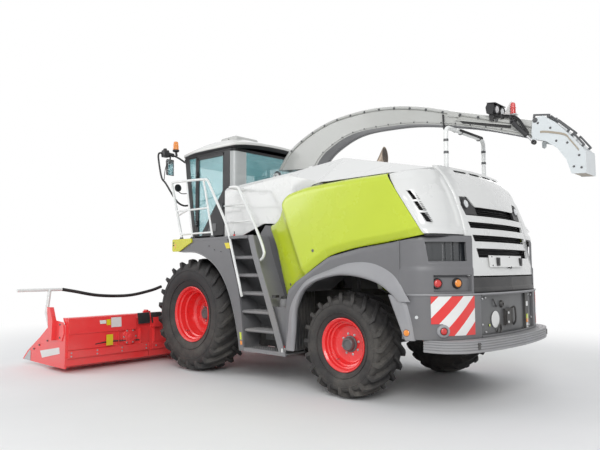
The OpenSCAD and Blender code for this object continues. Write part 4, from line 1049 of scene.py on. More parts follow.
def makeHood():
    s = rearSetup
    ys = [-s["half"] + 0.006 * k for k in range(7)]
    ys = ys + [-0.80 + 1.60 * k / 44 for k in range(45)] + [-y for y in ys[::-1]]
    zs = [1.482 + (2.800 - 1.482) * k / 66 for k in range(67)]
    part = newPart()
    outer = [[hoodPoint(y, z) for y in ys] for z in zs]
    addSkin(part, outer, moved(outer, x=s["thickness"]))
    cutters = newPart()
    # the top opening widens at both ends for the lamps
    shape = [(-0.772, 2.182), (0.772, 2.182), (0.808, 2.300), (0.792, 2.404), (0.640, 2.412), (0.566, 2.312),
             (0.530, 2.292), (-0.530, 2.292), (-0.566, 2.312), (-0.640, 2.412), (-0.792, 2.404),
             (-0.808, 2.300)]
    addSlab(cutters, shape, -4.80, -4.05, "x")
    for i, (top, bottom) in enumerate(s["slats"]):
        left = 0.765 - i * 0.022
        shape = [(-left + 0.03, bottom), (left - 0.02, bottom), (left, top), (-left + 0.01, top)]
        addSlab(cutters, shape, -4.80, -4.05, "x")
    for y0, y1 in s["topSlots"]:
        addSlab(cutters, [(y1, 2.738), (y0, 2.738), (y0 - 0.006, 2.764), (y1 + 0.006, 2.764)], -4.40, -4.02,
                "x")
    for side in (1, -1):
        # the strap that reaches over to the hinge pin
        addSlab(part, [(-4.030, 2.790), (-3.950, 2.790), (-3.950, 2.806), (-4.024, 2.806)], side * 0.592,
                side * 0.618)
        addLathe(part, [(0, 0.0085), (0, 0.014), (0.026, 0.014), (0.026, 0.0085)],
                 (-3.95, side * 0.592, 2.815), (0, side, 0), 24, closed=True)
    addPiece("rear_hood.skin", part, "whitePaint", "rear_lid", ("rear_hood",), bevel=0.005, angle=50,
             cutters=cutters)
    # black slats that stand inside the openings
    slats = newPart()
    for z in (1.70, 1.735, 1.770, 1.885, 1.915, 1.945, 2.04, 2.07, 2.10, 2.19, 2.215, 2.24, 2.265):
        rows = []
        for k in range(25):
            y = -0.78 + 1.56 * k / 24
            x = softRearX(y, z) + 0.034
            rows.append([(x, y, z - 0.011), (x + 0.002, y, z - 0.013), (x + 0.040, y, z + 0.006),
                         (x + 0.038, y, z + 0.009)])
        addRings(slats, rows)
    backing = [[Vector((softRearX(y, z) + 0.078, y, z)) for y in (-0.84 + 0.07 * k for k in range(25))]
               for z in (1.64 + 0.085 * k for k in range(10))]
    addSkin(slats, backing, moved(backing, x=0.006))
    backing = [[Vector((rearX(y, 2.75) + 0.045, y, z)) for y in (-0.74 + 0.074 * k for k in range(20))]
               for z in (2.72, 2.78)]
    addSkin(slats, backing, moved(backing, x=0.006))
    addPiece("rear_grille.slats", slats, "blackPlastic", "rear_lid", ("rear_grille",))


makeHood()
print("rear hood made")

# the grey tail: upper body, skirt, bumper and what is fixed to them


def planPath(points, count):
    # an even line in plan with the direction that points out of the body
    line = evenLine(smoothLine([(x, y, 0) for x, y in points], 8), count)
    path = []
    for i, p in enumerate(line):
        run = (line[min(i + 1, count - 1)] - line[max(i - 1, 0)]).normalized()
        out = Vector((run.y, -run.x, 0))
        if out.x > 0.2 or (abs(out.x) <= 0.2 and out.y < 0):
            out = -out
        path.append((p, out))
    return path


def addBand(part, path, section, finish=0):
    # sweeps a closed section of (outwards, height) along a path in plan
    rings = [[p + out * away + lifted(z) for away, z in section] for p, out in path]
    return addRings(part, rings, finish=finish)


def addHoledSkin(part, outer, inner, isHole, finish=0):
    rows, cols = len(outer), len(outer[0])
    a = [[part.verts.new(p) for p in row] for row in outer]
    b = [[part.verts.new(p) for p in row] for row in inner]
    kept = [[not isHole(i, j) for j in range(cols - 1)] for i in range(rows - 1)]
    for i in range(rows - 1):
        for j in range(cols - 1):
            if kept[i][j]:
                fill(part, (a[i][j], a[i][j + 1], a[i + 1][j + 1], a[i + 1][j]), finish)
                fill(part, (b[i][j], b[i + 1][j], b[i + 1][j + 1], b[i][j + 1]), finish)
    for i in range(rows):
        for j in range(cols - 1):
            below, above = i > 0 and kept[i - 1][j], i < rows - 1 and kept[i][j]
            if below != above:
                fill(part, (a[i][j], a[i][j + 1], b[i][j + 1], b[i][j]), finish)
    for i in range(rows - 1):
        for j in range(cols):
            before, after = j > 0 and kept[i][j - 1], j < cols - 1 and kept[i][j]
            if before != after:
                fill(part, (a[i][j], a[i + 1][j], b[i + 1][j], b[i][j]), finish)
    for vert in [v for row in a + b for v in row if not v.link_faces]:
        part.verts.remove(vert)


fenderSetup = {
    "arch": [(-2.225, 0.51), (-2.26, 0.78), (-2.28, 1.04), (-2.39, 1.27), (-2.60, 1.41), (-2.92, 1.49),
             (-3.16, 1.50), (-3.38, 1.47), (-3.60, 1.40), (-3.76, 1.29), (-3.845, 1.20)],
    "lip": [(-2.090, 0.51), (-2.125, 0.77), (-2.165, 1.06), (-2.300, 1.275), (-2.490, 1.440), (-2.850, 1.560),
            (-3.160, 1.640), (-3.500, 1.630), (-3.780, 1.500), (-3.930, 1.290), (-3.990, 1.200)],
    "top": [(-4.45, 1.938), (-4.152, 1.928), (-3.782, 1.867), (-3.293, 1.807), (-2.824, 1.714),
            (-2.505, 1.534), (-2.262, 1.396), (-2.105, 1.27), (-2.085, 0.90)],
    "corner": [(-3.860, 1.460), (-3.980, 1.440), (-4.100, 1.388), (-4.240, 1.262), (-4.370, 1.060),
               (-4.450, 0.864)],
    "seam": 1.287, "windowLow": 1.648, "windowHigh": 1.862, "recessLow": 1.312, "recessHigh": 1.492,
}


def archHeight(x):
    return follow(x, sorted(fenderSetup["arch"]))


def makeFenders():
    s = fenderSetup
    part = newPart()
    # flat side over the arch
    table = sorted(s["top"])
    xs = [-2.088, -2.10, -2.13, -2.16, -2.20, -2.226, -2.24, -2.255, -2.27, -2.28]
    xs += [-2.31 - 0.05 * k for k in range(31)] + [-3.845, -3.860]
    outer = []
    for x in xs:
        low = max(archHeight(x) if x <= -2.2255 else 0.51, 0.51 if x > -3.7 else s["seam"])
        high = follow(x, table)
        outer.append([Vector((x, 1.460 - 0.010 * ease((low + (high - low) * k / 16 - high + 0.05) / 0.05),
                              low + (high - low) * k / 16)) for k in range(17)])
    addSkin(part, outer, moved(outer, y=-0.03))
    # the rounded corner with its window and lamp recess
    path = planPath(s["corner"], 61)
    windowFrom, windowTo, recessFrom, recessTo = 0.34, 0.90, 0.40, 0.955
    us = sorted({k / 60 for k in range(61)} | {recessFrom - 0.006, recessFrom + 0.008, recessTo - 0.008,
                                               recessTo + 0.006})
    zs = sorted({s["seam"] + 0.001, 1.30, s["recessLow"] - 0.004, s["recessLow"] + 0.006, 1.36, 1.40, 1.44,
                 s["recessHigh"] - 0.006, s["recessHigh"] + 0.004, 1.50, 1.53, 1.56, 1.575, 1.59, 1.61,
                 s["windowLow"], 1.70, 1.75, 1.80, s["windowHigh"], 1.875, 1.90, 1.925})
    outer, inner = [], []
    for z in zs:
        row, back = [], []
        for u in us:
            lean = (0.20 * (z - 1.75) if z > 1.62 else -0.026) * math.sin(math.pi * min(1, max(0, u)))
            k = min(max((u - lean) * 60, 0), 59.999)
            i = int(k)
            p = path[i][0].lerp(path[i + 1][0], k - i)
            out = path[i][1].lerp(path[i + 1][1], k - i).normalized()
            away = -0.012 * ease((z - 1.555) / 0.03) - 0.010 * ease((z - 1.90) / 0.03)
            if recessFrom < u < recessTo and s["recessLow"] < z < s["recessHigh"]:
                away -= 0.045
            high = follow(p.x, table) - 0.003
            point = p + out * away + lifted(min(z, high) if z < 1.92 else high)
            row.append(point)
            back.append(point - out * 0.028)
        outer.append(row)
        inner.append(back)
    lowRow, highRow = zs.index(s["windowLow"]), zs.index(s["windowHigh"])
    addHoledSkin(part, outer, inner, lambda i, j: lowRow <= i < highRow and windowFrom <= us[j] < windowTo)
    # liner over the wheel with its ribs, and the inner front wall
    liner = [(-2.185, 1.295), (-2.385, 1.292), (-2.600, 1.432), (-2.920, 1.512), (-3.160, 1.522),
             (-3.380, 1.492), (-3.600, 1.422), (-3.750, 1.308), (-3.860, 1.300)]
    rows = []
    for p in smoothLine([(x, 0, z) for x, z in liner], 5):
        rows.append([Vector((p.x, 0.87 + 0.565 * k / 18, p.z - 0.010 * (0.5 - 0.5 * math.cos(k * math.pi))))
                     for k in range(19)])
    addSkin(part, rows, moved(rows, z=0.012), 1)
    front = []
    for z in (0.515, 0.70, 0.90, 1.10, 1.285):
        row = []
        for k in range(41):
            t = k / 40
            x = -2.258 + 0.172 * t
            y = 1.425 - 0.55 * t
            row.append(Vector((x - 0.012 * (0.5 - 0.5 * math.cos(t * 12 * math.pi)), y, z)))
        front.append(row)
    addSkin(part, front, moved(front, x=0.010, y=0.004), 1)
    plate = [(-2.055, 1.075), (-2.065, 1.20), (-2.085, 1.42), (-2.10, 1.42), (-2.08, 1.20), (-2.07, 1.075)]
    addSlab(part, plate, 0.512, 1.092, "z")
    mirrorPart(part)
    addPiece("rear_fenders.skin", part, ["greyPlastic", "chassisPaint"], "machine", ("rear_fenders",),
             bevel=0.005, angle=40)
    # the flared lip round the arch, in a lighter grey than the fender that is partly a painted highlight on
    # the flare
    lip = newPart()
    count = 61
    low = evenLine(smoothLine([(x, z, 0) for x, z in s["arch"]], 8), count)
    high = evenLine(smoothLine([(x, z, 0) for x, z in s["lip"]], 8), count)
    outer, inner = [], []
    for i in range(count):
        a, b = low[i], high[i]
        end = ease(min(i, count - 1 - i) / 5) * 0.6 + 0.4
        row = []
        for t, away in ((-0.10, 0.000), (-0.06, 0.022), (0.03, 0.034), (0.14, 0.038), (0.30, 0.034),
                        (0.50, 0.025), (0.70, 0.015), (0.88, 0.006), (1.0, -0.006)):
            p = a.lerp(b, t)
            row.append(Vector((p.x, 1.464 + away * end, p.y)))
        outer.append(row)
        inner.append([Vector((p.x, 1.455, p.z)) for p in row])
    addSkin(lip, outer, inner)
    mirrorPart(lip)
    addPiece("wheelArchLip", lip, "paleGrey", bevel=0.003, angle=60)
    # panes in the corner windows
    panes = newPart()
    rows = [[path[k][0] - path[k][1] * (0.060 - 0.006 * (k % 7 == 0)) + lifted(z) for k in range(16, 59)]
            for z in (1.630, 1.750, 1.870)]
    addSkin(panes, rows, moved(rows, x=0.01, y=-0.006))
    for k in (27, 38, 45):
        p, out = path[k]
        q = p - out * 0.050
        side = Vector((-out.y, out.x, 0)) * 0.014
        ring = [q - side, q + side, q + side - out * 0.012, q - side - out * 0.012]
        addRings(panes, [[p + lifted(z) for p in ring] for z in (1.64, 1.865)])
    mirrorPart(panes)
    addPiece("cornerPanes", panes, "darkScreen", bevel=0.002)
    return path


cornerPath = makeFenders()

skirtSetup = {
    "plan": [(-3.865, 1.440), (-3.970, 1.425), (-4.060, 1.400), (-4.220, 1.290), (-4.370, 1.100),
             (-4.470, 0.800), (-4.530, 0.400), (-4.545, 0.0)],
    "low": 0.790, "high": 1.282, "thickness": 0.030,
}


def alongPlan(path, x=None, y=None):
    best = min(path, key=lambda item: abs(item[0].x - x) if x is not None else abs(item[0].y - y))
    return best[0].copy(), best[1].copy()


def addLamp(part, place, out, radius, lens, depth=0.020):
    # a round lamp: dark ring, domed lens
    addLathe(part, [(-0.01, radius * 1.16), (depth * 0.8, radius * 1.16), (depth, radius * 1.10),
                    (depth, radius * 1.0), (depth * 0.5, radius * 0.98), (depth * 0.4, 0.001)],
             place, out, 28)
    addLathe(part, [(depth * 0.3, radius * 0.97), (depth * 0.9, radius * 0.96), (depth * 1.15, radius * 0.80),
                    (depth * 1.3, radius * 0.45), (depth * 1.35, axisGap)],
             place, out, 28, lens)


def makeSkirt():
    s = skirtSetup
    path = planPath(s["plan"], 81)
    part = newPart()
    section = [(0.0, s["low"]), (0.0, s["high"]), (-s["thickness"], s["high"]), (-s["thickness"], s["low"])]
    sidePath = [item for item in path if item[0].y > 0.755]
    addBand(part, sidePath, section)
    # the middle is closed above and below the recess
    middle = [item for item in path if item[0].y <= 0.765]
    addBand(part, middle, [(0.0, 1.256), (0.0, s["high"]), (-0.03, s["high"]), (-0.03, 1.256)])
    addBand(part, middle, [(0.0, s["low"]), (0.0, 0.812), (-0.03, 0.812), (-0.03, s["low"])])
    addBox(part, (-4.475, 0.752, 0.80), (-4.412, 0.770, 1.27))
    addBox(part, (-3.880, 0.505, 0.80), (-3.865, 1.412, 1.280))
    # a light strip down the front edge, with the seam behind it
    outer = []
    for k in range(13):
        t = k / 12
        z = s["low"] - 0.012 + (s["high"] + 0.004 - s["low"]) * t
        lead = follow(z, [(0.78, -3.905), (0.82, -3.884), (0.91, -3.846), (1.10, -3.765), (1.275, -3.692),
                          (1.30, -3.680)])
        tail = follow(z, [(0.80, -4.017), (0.96, -3.990), (1.14, -3.944), (1.29, -3.893)])
        row = []
        for j in range(13):
            u = j / 12
            x = lead + (tail - lead) * u
            y = min(follow(x, [(-4.06, 1.400), (-3.97, 1.425), (-3.865, 1.440), (-3.60, 1.446)]), 1.446)
            row.append(Vector((x, y + 0.024 * ease(u / 0.12) - 0.026 * ease((u - 0.84) / 0.16) + 0.002, z)))
        outer.append(row)
    addSkin(part, outer, moved(outer, y=-0.022), 1)
    # a bead along the skirt's top edge at the seam; its lighter grey is a painted highlight on the seam's
    # edge
    rim = [(0.0, -0.016), (0.012, -0.012), (0.014, 0), (0.010, 0.006), (-0.010, 0.006), (-0.010, -0.016)]
    addBand(part, [item for item in path if item[0].x < -3.90], [(away, s["high"] + z) for away, z in rim], 1)
    mirrorPart(part)
    addPiece("tail_skirt.skin", part, ["greyPlastic", "paleGrey"], "machine", ("tail_skirt",), bevel=0.005,
             angle=40)
    # black trim between the seam and the hood, with a rib
    trim = newPart()
    line = planPath([(-4.440, 0.860), (-4.490, 0.500), (-4.510, 0.0)], 25)
    addBand(trim, line, [(0, 1.284), (0.010, 1.296), (0.014, 1.318), (0.010, 1.340), (0.0, 1.352),
                         (0.0, 1.466), (-0.030, 1.466), (-0.030, 1.284)])
    recess = newPart()
    back = planPath([(-4.448, 0.765), (-4.470, 0.400), (-4.478, 0.0)], 21)
    addBand(recess, back, [(0, 0.80), (0, 1.27), (-0.012, 1.27), (-0.012, 0.80)], 2)
    for y, z in ((0.70, 1.22), (0.62, 1.23), (0.30, 1.235), (0.62, 0.84), (0.30, 0.84), (0.70, 0.93),
                 (0.05, 1.235)):
        addBolt(recess, (-4.462, y, z), (-1, 0, 0), 0.011, 1)
    mirrorPart(trim)
    mirrorPart(recess)
    # a socket with its cap, the black coupling block, a hook and two short cables
    addLathe(recess, [(0, 0.044), (0.014, 0.044), (0.032, 0.034), (0.036, 0.018), (0.022, 0.016),
                      (0.022, 0.0008)], (-4.470, 0.235, 1.143), (-1, 0, 0), 24)
    addBox(recess, (-4.505, -0.045, 0.885), (-4.468, 0.175, 1.082))
    addBox(recess, (-4.520, 0.060, 0.900), (-4.500, 0.165, 1.060))
    for z in (1.035, 0.925):
        addLathe(recess, [(0, 0.015), (0.006, 0.014), (0.008, 0.0008)], (-4.519, 0.125, z), (-1, 0, 0), 16, 3)
    addTube(recess, smoothLine([(-4.49, -0.02, 1.08), (-4.53, -0.03, 1.10), (-4.535, -0.045, 1.02),
                                (-4.53, -0.05, 0.93), (-4.50, -0.05, 0.88)], 5), 0.011, 10)
    addTube(recess, smoothLine([(-4.475, 0.44, 1.21), (-4.49, 0.43, 1.16), (-4.492, 0.40, 1.12),
                                (-4.48, 0.36, 1.13)], 5), 0.007, 8)
    addTube(recess, smoothLine([(-4.475, 0.36, 0.82), (-4.492, 0.36, 0.87), (-4.494, 0.30, 0.91),
                                (-4.480, 0.25, 0.85), (-4.478, 0.27, 0.81)], 5), 0.008, 8)
    addPiece("seamTrim", trim, "blackPlastic", bevel=0.004)
    addPiece("towPlate", recess, ["blackPlastic", "steel", "hubPaint", "whitePlate"], bevel=0.003)
    return path


skirtPath = makeSkirt()


def makeSignMaterial():
    # red and white slanted stripes, laid out along the sign
    material, tree, shader = newMaterial("stripedSign")
    spread = shaderNodes(tree, "ShaderNodeSeparateXYZ")
    tree.links.new(shaderNodes(tree, "ShaderNodeTexCoord").outputs["UV"], spread.inputs[0])
    slant = mathNode(tree, "SUBTRACT", spread.outputs["X"], spread.outputs["Y"])
    band = mathNode(tree, "FRACT", mathNode(tree, "MULTIPLY_ADD", slant, 3.35, 5.44))
    mask = mathNode(tree, "LESS_THAN", band, 0.5)
    foil = useGroup(tree, "grain", Scale=240)
    stripes = mixColor(tree, mask, (0.78, 0.78, 0.76), (0.74, 0.022, 0.020))
    worn = useGroup(tree, "dust", Base=stripes, Amount=0.25, High_Height=1.8)
    tree.links.new(worn.outputs["Color"], shader.inputs["Base Color"])
    tree.links.new(mathNode(tree, "MULTIPLY_ADD", foil.outputs["Shade"], 0.12, 0.26),
                   shader.inputs["Roughness"])
    shader.inputs["Coat Weight"].default_value = 0.5
    bumpTo(tree, shader, foil.outputs["Height"], 0.08, 0.0004)
    return material


finishes["stripedSign"] = makeSignMaterial()
slotOf["stripedSign"] = "red_paint"


def makeSign(side):
    # a bent plate on the skirt's corner, with its own layout across and up
    path = [item for item in skirtPath if 0.865 < item[0].y < 1.335]
    low, high = 0.835, 1.262
    part = newPart()
    layout = part.loops.layers.uv.new("layout")
    run = [0.0]
    for a, b in zip(path, path[1:]):
        run.append(run[-1] + (b[0] - a[0]).length)
    zs = [low + (high - low) * k / 10 for k in range(11)]
    front, back = ([[part.verts.new(p + out * away + lifted(z)) for z in zs] for p, out in path]
                   for away in (0.006, 0.001))
    for i in range(len(path) - 1):
        for k in range(10):
            if i < len(path) * 0.20 and zs[k] < 0.960:
                continue
            for grid in (front, back):
                face = part.faces.new((grid[i][k], grid[i + 1][k], grid[i + 1][k + 1], grid[i][k + 1]))
                for loop, (a, b) in zip(face.loops, ((i, k), (i + 1, k), (i + 1, k + 1), (i, k + 1))):
                    loop[layout].uv = (run[a], zs[b])
    for vert in [v for row in front + back for v in row if not v.link_faces]:
        part.verts.remove(vert)
    addPiece("warningSign" + sideName(side).title(), flipped(part, side), "stripedSign")


makeSign(1)
makeSign(-1)


def makeTailLamps():
    part = newPart()
    for x, lens in ((-4.232, 1), (-4.372, 2)):
        p, out = alongPlan(cornerPath, x=x)
        place = p - out * 0.045 + lifted(1.402)
        addLathe(part, [(-0.004, 0.062), (0.020, 0.058), (0.034, 0.050), (0.034, 0.046), (0.010, 0.046)],
                 place, out, 28)
        addLamp(part, place, out, 0.044, lens, 0.030)
    # the small red lamp below, in a moulded corner
    p, out = alongPlan(skirtPath, x=-4.262)
    base = p + lifted(0.886)
    addLathe(part, [(-0.004, 0.072), (0.012, 0.070), (0.022, 0.058), (0.024, 0.044), (0.012, 0.042),
                    (0.010, 0.0008)], base, out, 32, 4)
    addLamp(part, base + out * 0.006, out, 0.036, 1, 0.018)
    # side marker, and the lock behind it
    p, out = alongPlan(skirtPath, x=-3.925)
    addLamp(part, p + out * 0.010 + lifted(0.862), out, 0.036, 2, 0.016)
    p, out = alongPlan(skirtPath, x=-4.045)
    addLathe(part, [(-0.002, 0.019), (0.005, 0.018), (0.006, 0.011), (0.003, 0.010), (0.003, 0.0008)],
             p + lifted(1.034), out, 20, 3)
    mirrorPart(part)
    addPiece("tailLamps", part, ["blackPlastic", "redLens", "amberLens", "clearLens", "paleGrey"])
    # reversing lamps on the hood, in their dark bezels
    bezel = newPart()
    shape = [(0.536, 2.196), (0.768, 2.190), (0.806, 2.300), (0.788, 2.400), (0.642, 2.408), (0.570, 2.308),
             (0.536, 2.288)]
    rows = [[(softRearX(y, z) + away, y, z) for y, z in shape] for away in (0.006, 0.040)]
    addRings(bezel, rows)
    middle = (0.705, 2.316)
    place = Vector((softRearX(*middle) + 0.012, *middle))
    addLathe(bezel, [(-0.01, 0.068), (0.014, 0.066), (0.020, 0.058), (0.012, 0.054), (0.012, 0.001)], place,
             (-1, 0.04, 0.22))
    addLamp(bezel, place, (-1, 0.04, 0.22), 0.050, 1, 0.022)
    mirrorPart(bezel)
    addPiece("hoodLamps", bezel, ["blackPlastic", "clearLens"], "rear_lid", bevel=0.003)
    # blank plate with its clamps and the hood's catch
    plate = newPart()
    rows = [[Vector((softRearX(y, z) - 0.028, y, z)) for y in (-0.34 + 0.0875 * k for k in range(11))]
            for z in (1.580, 1.716)]
    addSkin(plate, rows, moved(rows, x=0.010))
    for y in (0.358, -0.276):
        x = softRearX(y, 1.645) - 0.030
        addBox(plate, (x - 0.012, y - 0.036, 1.596), (x + 0.004, y + 0.036, 1.692), 1)
        addBox(plate, (x - 0.018, y - 0.022, 1.612), (x - 0.010, y + 0.022, 1.676), 1)
    for y, z in ((0.48, 1.60), (0.48, 1.70), (-0.30, 1.60), (0.05, 1.70)):
        addBolt(plate, (softRearX(y, z) - 0.028, y, z), (-1, 0, 0), 0.006, 1)
    catch = softRearX(0.03, 1.575) - 0.002
    addBox(plate, (catch - 0.014, 0.008, 1.566), (catch, 0.052, 1.600), 1)
    addTube(plate, [(catch - 0.006, 0.03, 1.590), (catch - 0.026, 0.03, 1.584), (catch - 0.028, 0.03, 1.568),
                    (catch - 0.014, 0.03, 1.562)], 0.006, 8, 1)
    addPiece("plateHolder", plate, ["whitePlate", "blackPlastic"], "rear_lid", bevel=0.003)
    # on the tow plate: blank disc, small dot, and the strip of switches
    bits = newPart()
    addLathe(bits, [(0, 0.098), (0.004, 0.098), (0.005, 0.096), (0.005, axisGap)], (-4.476, 0.398, 0.972),
             (-1, 0.03, 0), 40)
    addLathe(bits, [(0, 0.016), (0.004, 0.015), (0.005, axisGap)], (-4.470, 0.540, 0.912), (-1, 0.03, 0), 20,
             1)
    addBox(bits, (-4.492, -0.545, 0.80), (-4.462, -0.455, 1.25), 2)
    for low, high, finish in ((1.085, 1.145, 0), (0.925, 0.985, 1), (0.880, 0.925, 3), (0.835, 0.875, 0),
                              (0.812, 0.828, 0)):
        addBox(bits, (-4.500, -0.522, low), (-4.490, -0.475, high), finish)
    addPiece("towPlateBits", bits, ["whitePlate", "limeLens", "chassisPaint", "amberLens"], bevel=0.002)


makeTailLamps()


bumperSetup = {
    "plan": [(-4.080, 1.350), (-4.200, 1.345), (-4.320, 1.318), (-4.425, 1.230), (-4.505, 1.120),
             (-4.600, 0.800), (-4.650, 0.400), (-4.670, 0.0)],
    "ribs": (0.664, 0.692, 0.720, 0.748),
    "studRows": (0.045, 0.095, 0.145),
}


def makeBumper():
    s = bumperSetup
    path = planPath(s["plan"], 61)
    section = [(-0.012, 0.652), (0.0, 0.658)]
    for z in s["ribs"]:
        section += [(0.0, z), (0.0, z + 0.018), (-0.008, z + 0.021), (-0.008, z + 0.026)]
    section += [(0.0, 0.776), (0.0, 0.782), (-0.008, 0.788), (-0.200, 0.788), (-0.200, 0.780),
                (-0.024, 0.776), (-0.024, 0.652)]
    part = newPart()
    addBand(part, path, section)
    addBox(part, (-4.280, 0.350, 0.780), (-4.100, 0.430, 1.000), 1)
    addBox(part, (-4.640, 0.36, 0.660), (-4.100, 0.42, 0.770), 1)
    addBox(part, (-4.560, 0.0, 0.690), (-4.480, 1.00, 0.760), 1)
    # rows of small studs on the top make it a step
    for p, out in path[14::3]:
        for inward in s["studRows"]:
            spot = p - out * inward + lifted(0.787)
            addLathe(part, [(0, 0.010), (0.004, 0.008), (0.004, 0.004), (0.002, axisGap)], spot, (0, 0, 1), 8)
    mirrorPart(part)
    addPiece("bumper.ribs", part, ["paleGrey", "chassisPaint"], "machine", ("bumper",), bevel=0.003, angle=30)


makeBumper()
print("tail made")

# the discharge spout

spoutSetup = {
    "top": [(-0.590, 3.225), (-0.840, 3.510), (-1.230, 3.720), (-1.660, 3.860), (-2.060, 3.915),
            (-2.530, 3.925), (-2.960, 3.880), (-3.370, 3.790), (-3.750, 3.670), (-4.300, 3.510),
            (-4.690, 3.400), (-4.980, 3.310)],
    "under": [(-1.450, 3.160), (-1.640, 3.360), (-1.990, 3.530), (-2.310, 3.600), (-2.730, 3.600),
              (-3.230, 3.560), (-3.830, 3.440), (-4.240, 3.330), (-4.620, 3.200), (-4.980, 3.070)],
    "stations": 72, "seam": 52, "boltStep": 4, "ridgeBolt": 0.013,
}


def spoutHalf(h, slim):
    # (across, down from the top) on one side: half round ridge, side wall, lower flange, recessed belly
    y, top = (0.143, 0.010) if slim else (0.150, 0.0)
    return [(0.0, top), (0.055, top + 0.002), (0.098, top + 0.012), (0.128, 0.034), (y - 0.004, 0.062),
            (y, 0.092), (y - 0.004, 0.112), (y - 0.022, 0.122), (y - 0.024, 0.132), (y - 0.016, 0.140),
            (y - 0.016, h - 0.056), (0.150, h - 0.050), (0.150, h - 0.034), (y - 0.014, h - 0.028),
            (y - 0.014, h), (y - 0.030, h), (y - 0.034, h - 0.030), (0.0, h - 0.030)]


def spoutRing(top, down, slim):
    # the closed section, hung from a point of the top line
    half = spoutHalf(down.length, slim)
    return [top + down * (d / down.length) + Vector((0, y, 0))
            for y, d in half + [(-y, d) for y, d in half[-2:0:-1]]]


def makeSpoutArm():
    s = spoutSetup
    tops = evenLine(smoothLine([(x, 0, z) for x, z in s["top"]], 8), s["stations"])
    unders = evenLine(smoothLine([(x, 0, z) for x, z in s["under"]], 8), s["stations"])
    part = newPart()
    rings = []
    for i, (top, under) in enumerate(zip(tops, unders)):
        down = under - top
        rings.append(spoutRing(top, down, i > s["seam"]))
        if i == s["seam"]:
            rings.append(spoutRing(top + (tops[i + 1] - top) * 0.04, down, True))
    made = addRings(part, rings)
    # the recessed belly's faces take the darker pale grey: painted shade for the shaded underside of the arm
    shadedBelly = {v for ring in made for v in ring[15:20]}
    for face in part.faces:
        if all(v in shadedBelly for v in face.verts):
            face.material_index = 1
    # bolts along the ridge and the flange
    for side in (1, -1):
        for i in range(6, s["stations"] - 8, s["boltStep"]):
            h = (unders[i] - tops[i]).length
            down = (unders[i] - tops[i]) / h
            addBolt(part, tops[i] + down * 0.098 + Vector((0, side * 0.149, 0)), (0, side, 0), s["ridgeBolt"],
                    2)
            addBolt(part, tops[i] + down * (h - 0.042) + Vector((0, side * 0.150, 0)), (0, side, 0), 0.008, 2)
        # strap across the seam, side channel and stiffening plate towards the end
        seam = tops[s["seam"]]
        addSlab(part, [(seam.x - 0.01, 3.62), (seam.x - 0.17, 3.575), (seam.x - 0.17, 3.520),
                       (seam.x - 0.01, 3.56)], side * 0.140, side * 0.149)
        addSlab(part, [(-3.90, 3.500), (-4.66, 3.300), (-4.66, 3.286), (-3.90, 3.486)], side * 0.138,
                side * 0.154)
        addSlab(part, [(-3.94, 3.484), (-4.62, 3.304), (-4.62, 3.262), (-3.94, 3.446)], side * 0.126,
                side * 0.133, "y", 3)
        addSlab(part, [(-3.716, 3.600), (-3.732, 3.596), (-3.742, 3.400), (-3.724, 3.404)], side * 0.128,
                side * 0.157, "y", 3)
    addBox(part, (-3.800, 0.060, 3.392), (-3.728, 0.150, 3.446), 3)
    addTube(part, smoothLine([(-3.80, 0.10, 3.43), (-3.84, 0.10, 3.40), (-3.85, 0.10, 3.372),
                              (-3.83, 0.10, 3.360)], 5), 0.010, 10, 3)
    # the foot's pivot ears
    for side in (1, -1):
        addLathe(part, [(0.0, 0.085), (0.016, 0.085), (0.020, 0.080), (0.020, 0.046), (0.030, 0.046),
                        (0.034, 0.040), (0.034, axisGap)], (-0.620, side * 0.146, 3.125), (0, side, 0), 36, 2)
    addPiece("spout_arm.shell", part, ["spoutPaint", "paleGrey", "hubPaint", "blackPlastic"], "arm",
             ("spout_arm",), bevel=0.004, angle=30)


makeSpoutArm()


